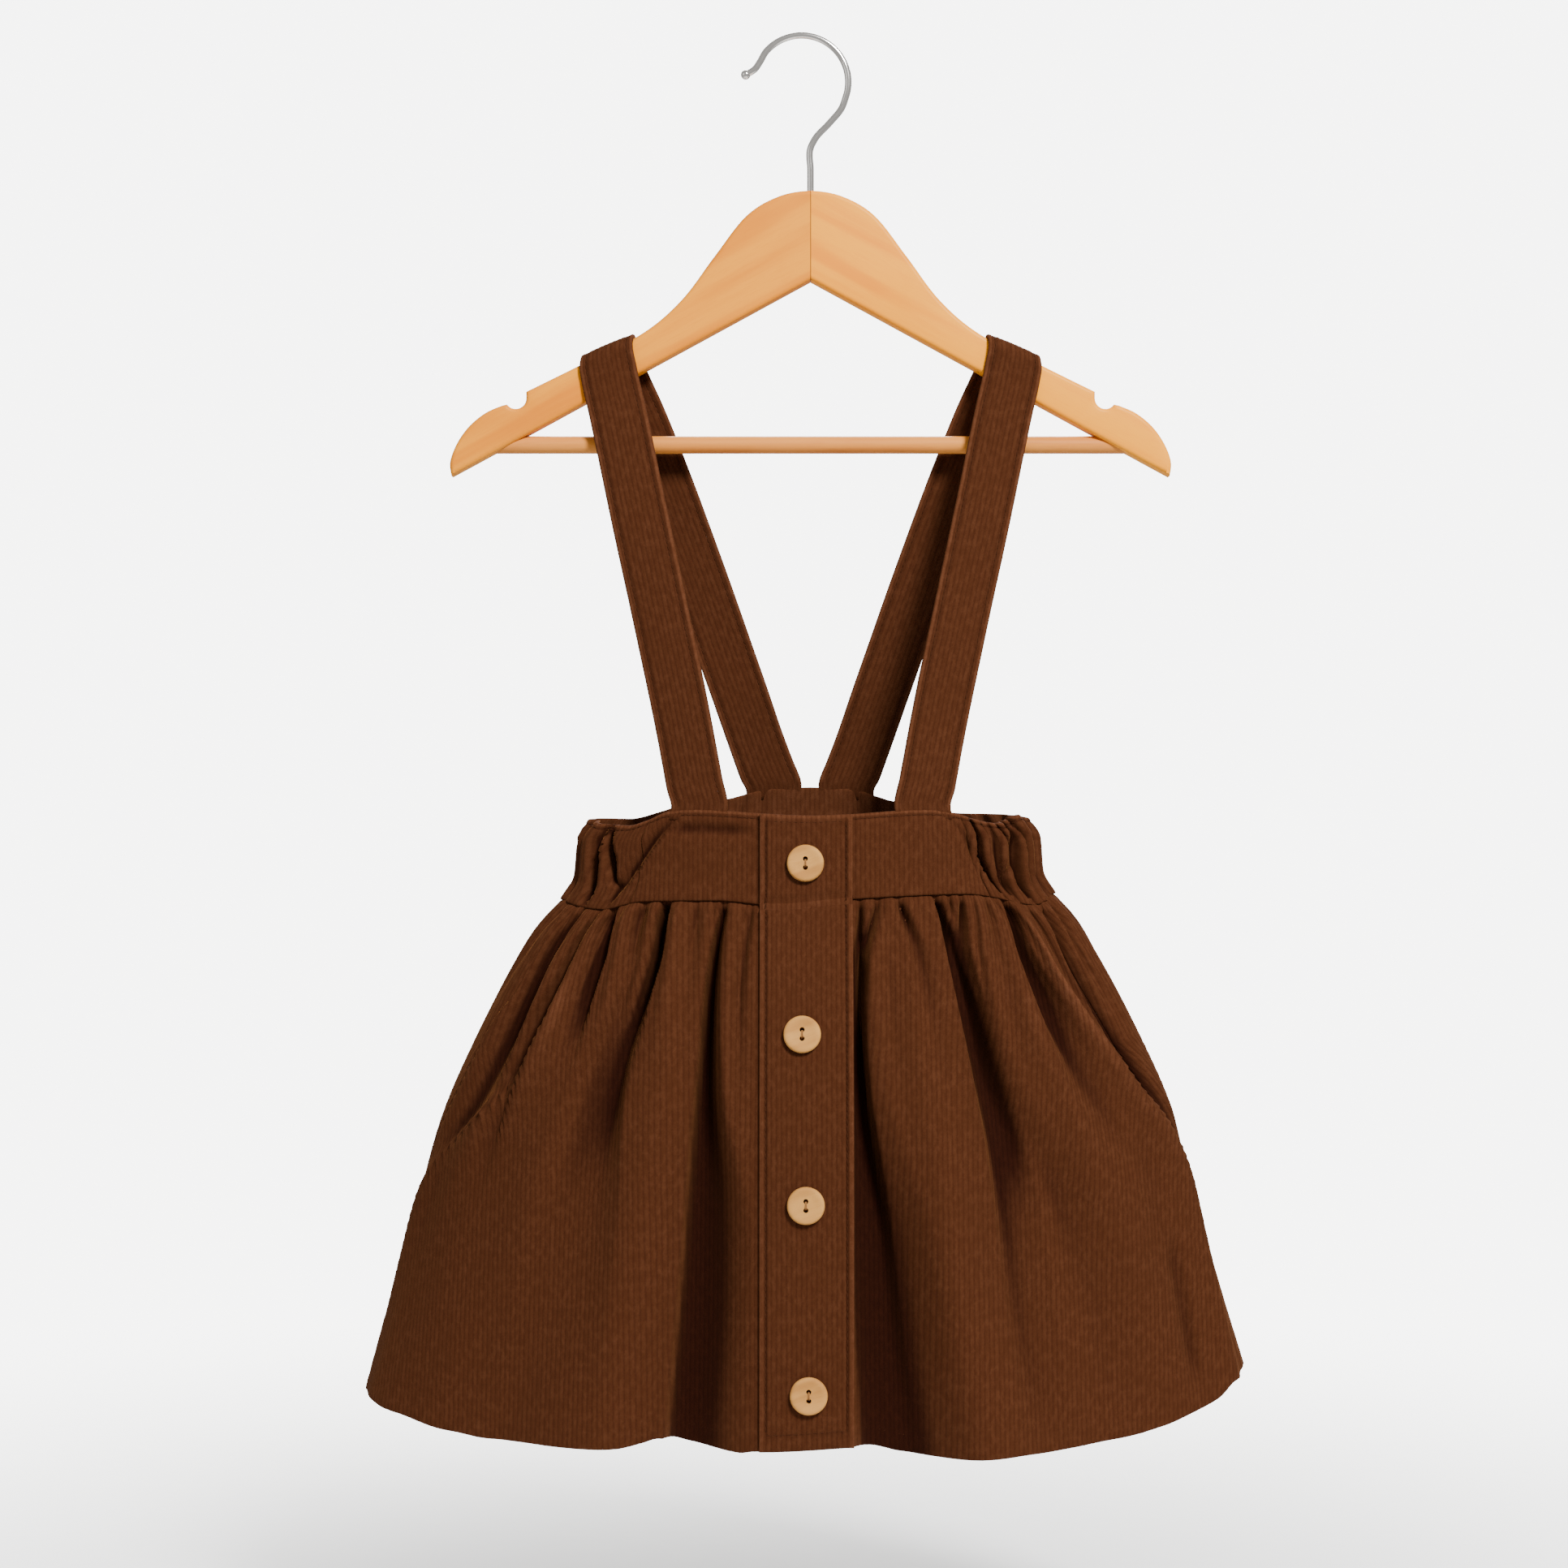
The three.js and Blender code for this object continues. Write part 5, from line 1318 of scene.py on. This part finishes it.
def add_world():
    """A soft light from all sides, and a paler plain background for the camera alone."""
    world = bpy.data.worlds.new("studio")
    world.use_nodes = True
    tree = world.node_tree
    mix, ray = tree.nodes.new("ShaderNodeMixShader"), tree.nodes.new("ShaderNodeLightPath")
    tree.links.new(ray.outputs["Is Camera Ray"], mix.inputs[0])
    grounds = (tree.nodes["Background"], tree.nodes.new("ShaderNodeBackground"))
    for i, (ground, (colour, strength)) in enumerate(zip(grounds, (SOFT_LIGHT, BACKGROUND))):
        ground.inputs["Color"].default_value = colour
        ground.inputs["Strength"].default_value = strength
        tree.links.new(ground.outputs[0], mix.inputs[i + 1])
    tree.links.new(mix.outputs[0], tree.nodes["World Output"].inputs["Surface"])
    bpy.context.scene.world = world


def add_camera():
    data = bpy.data.cameras.new("camera")
    data.lens, data.sensor_width = CAMERA["lens"], 36
    data.clip_start, data.clip_end = 0.05, 20
    camera = add_to_scene("camera", data)
    camera.location = CAMERA["place"]
    camera.rotation_euler = (math.pi / 2, 0, 0)
    bpy.context.scene.camera = camera


def add_stage():
    add_floor()
    add_world()
    for name, row in LIGHTS.items():
        add_light(name, *row)
    add_camera()


# ---- The dressed part ----
def dress(piece, material, slot, *nodes):
    """Gives a piece its material, and makes it ride on the body in the place of its nodes. slot is not used."""
    piece.data.materials.clear()
    piece.data.materials.append(material)
    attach(piece, "root")
    if nodes:
        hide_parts(*nodes)


def main():
    corduroy = corduroy_material()
    thread = thread_material("brown_thread", (66, 33, 14))
    button_thread = thread_material("tan_thread", (150, 104, 60))
    wood = {name: wood_material(name, *look) for name, look in WOODS.items()}
    steel = steel_material()

    cloth = add_skirt_and_band()
    stitches = {}
    for node, mirror in (("strap_left", -1), ("strap_right", 1)):
        cloth[node] = add_strap(node + "_cloth", mirror)
        stitches[node] = add_stitches(node + "_stitches", strap_stitches(mirror))
    stitches["skirt_back"] = add_stitches("hem_stitches", [
        edge_stitches(skirt_surface, span, SKIRT_LENGTH - HEM_LINE, 0.6, CLOTH / 2 - 0.2)
        for span in SKIRT_SPANS.values()])
    stitches["waistband_back"] = add_stitches("rim_stitches", [
        edge_stitches(band_surface, span, RIM_LINE - BAND_HEIGHT, 0.8, BAND_THICK / 2 - 0.25)
        for span in BAND_SPANS.values()])
    stitches["button_strip"] = add_stitches("strip_stitches", strip_stitches())
    for node, piece in cloth.items():
        dress(piece, corduroy, "corduroy", node)
    for row in stitches.values():
        dress(row, thread, "corduroy")
    for index in range(len(BUTTON_DOWN)):
        button, *place = add_button(index)
        dress(button, wood["button_wood"], "button_wood", f"button_{index + 1}")
        dress(add_button_threads(index, *place), button_thread, "button_wood")
    for side, mirror in (("right", 1), ("left", -1)):
        arm = add_arm(f"hanger_arm_{side}_wood", mirror)
        dress(arm, wood[f"beech_{side}"], "beech", f"hanger_arm_{side}")
    dress(add_bar(), wood["beech_bar"], "beech", "hanger_bar")
    wire, tip = add_hook()
    dress(wire, steel, "steel", "hanger_hook")
    dress(tip, steel, "steel")


main()
add_stage()
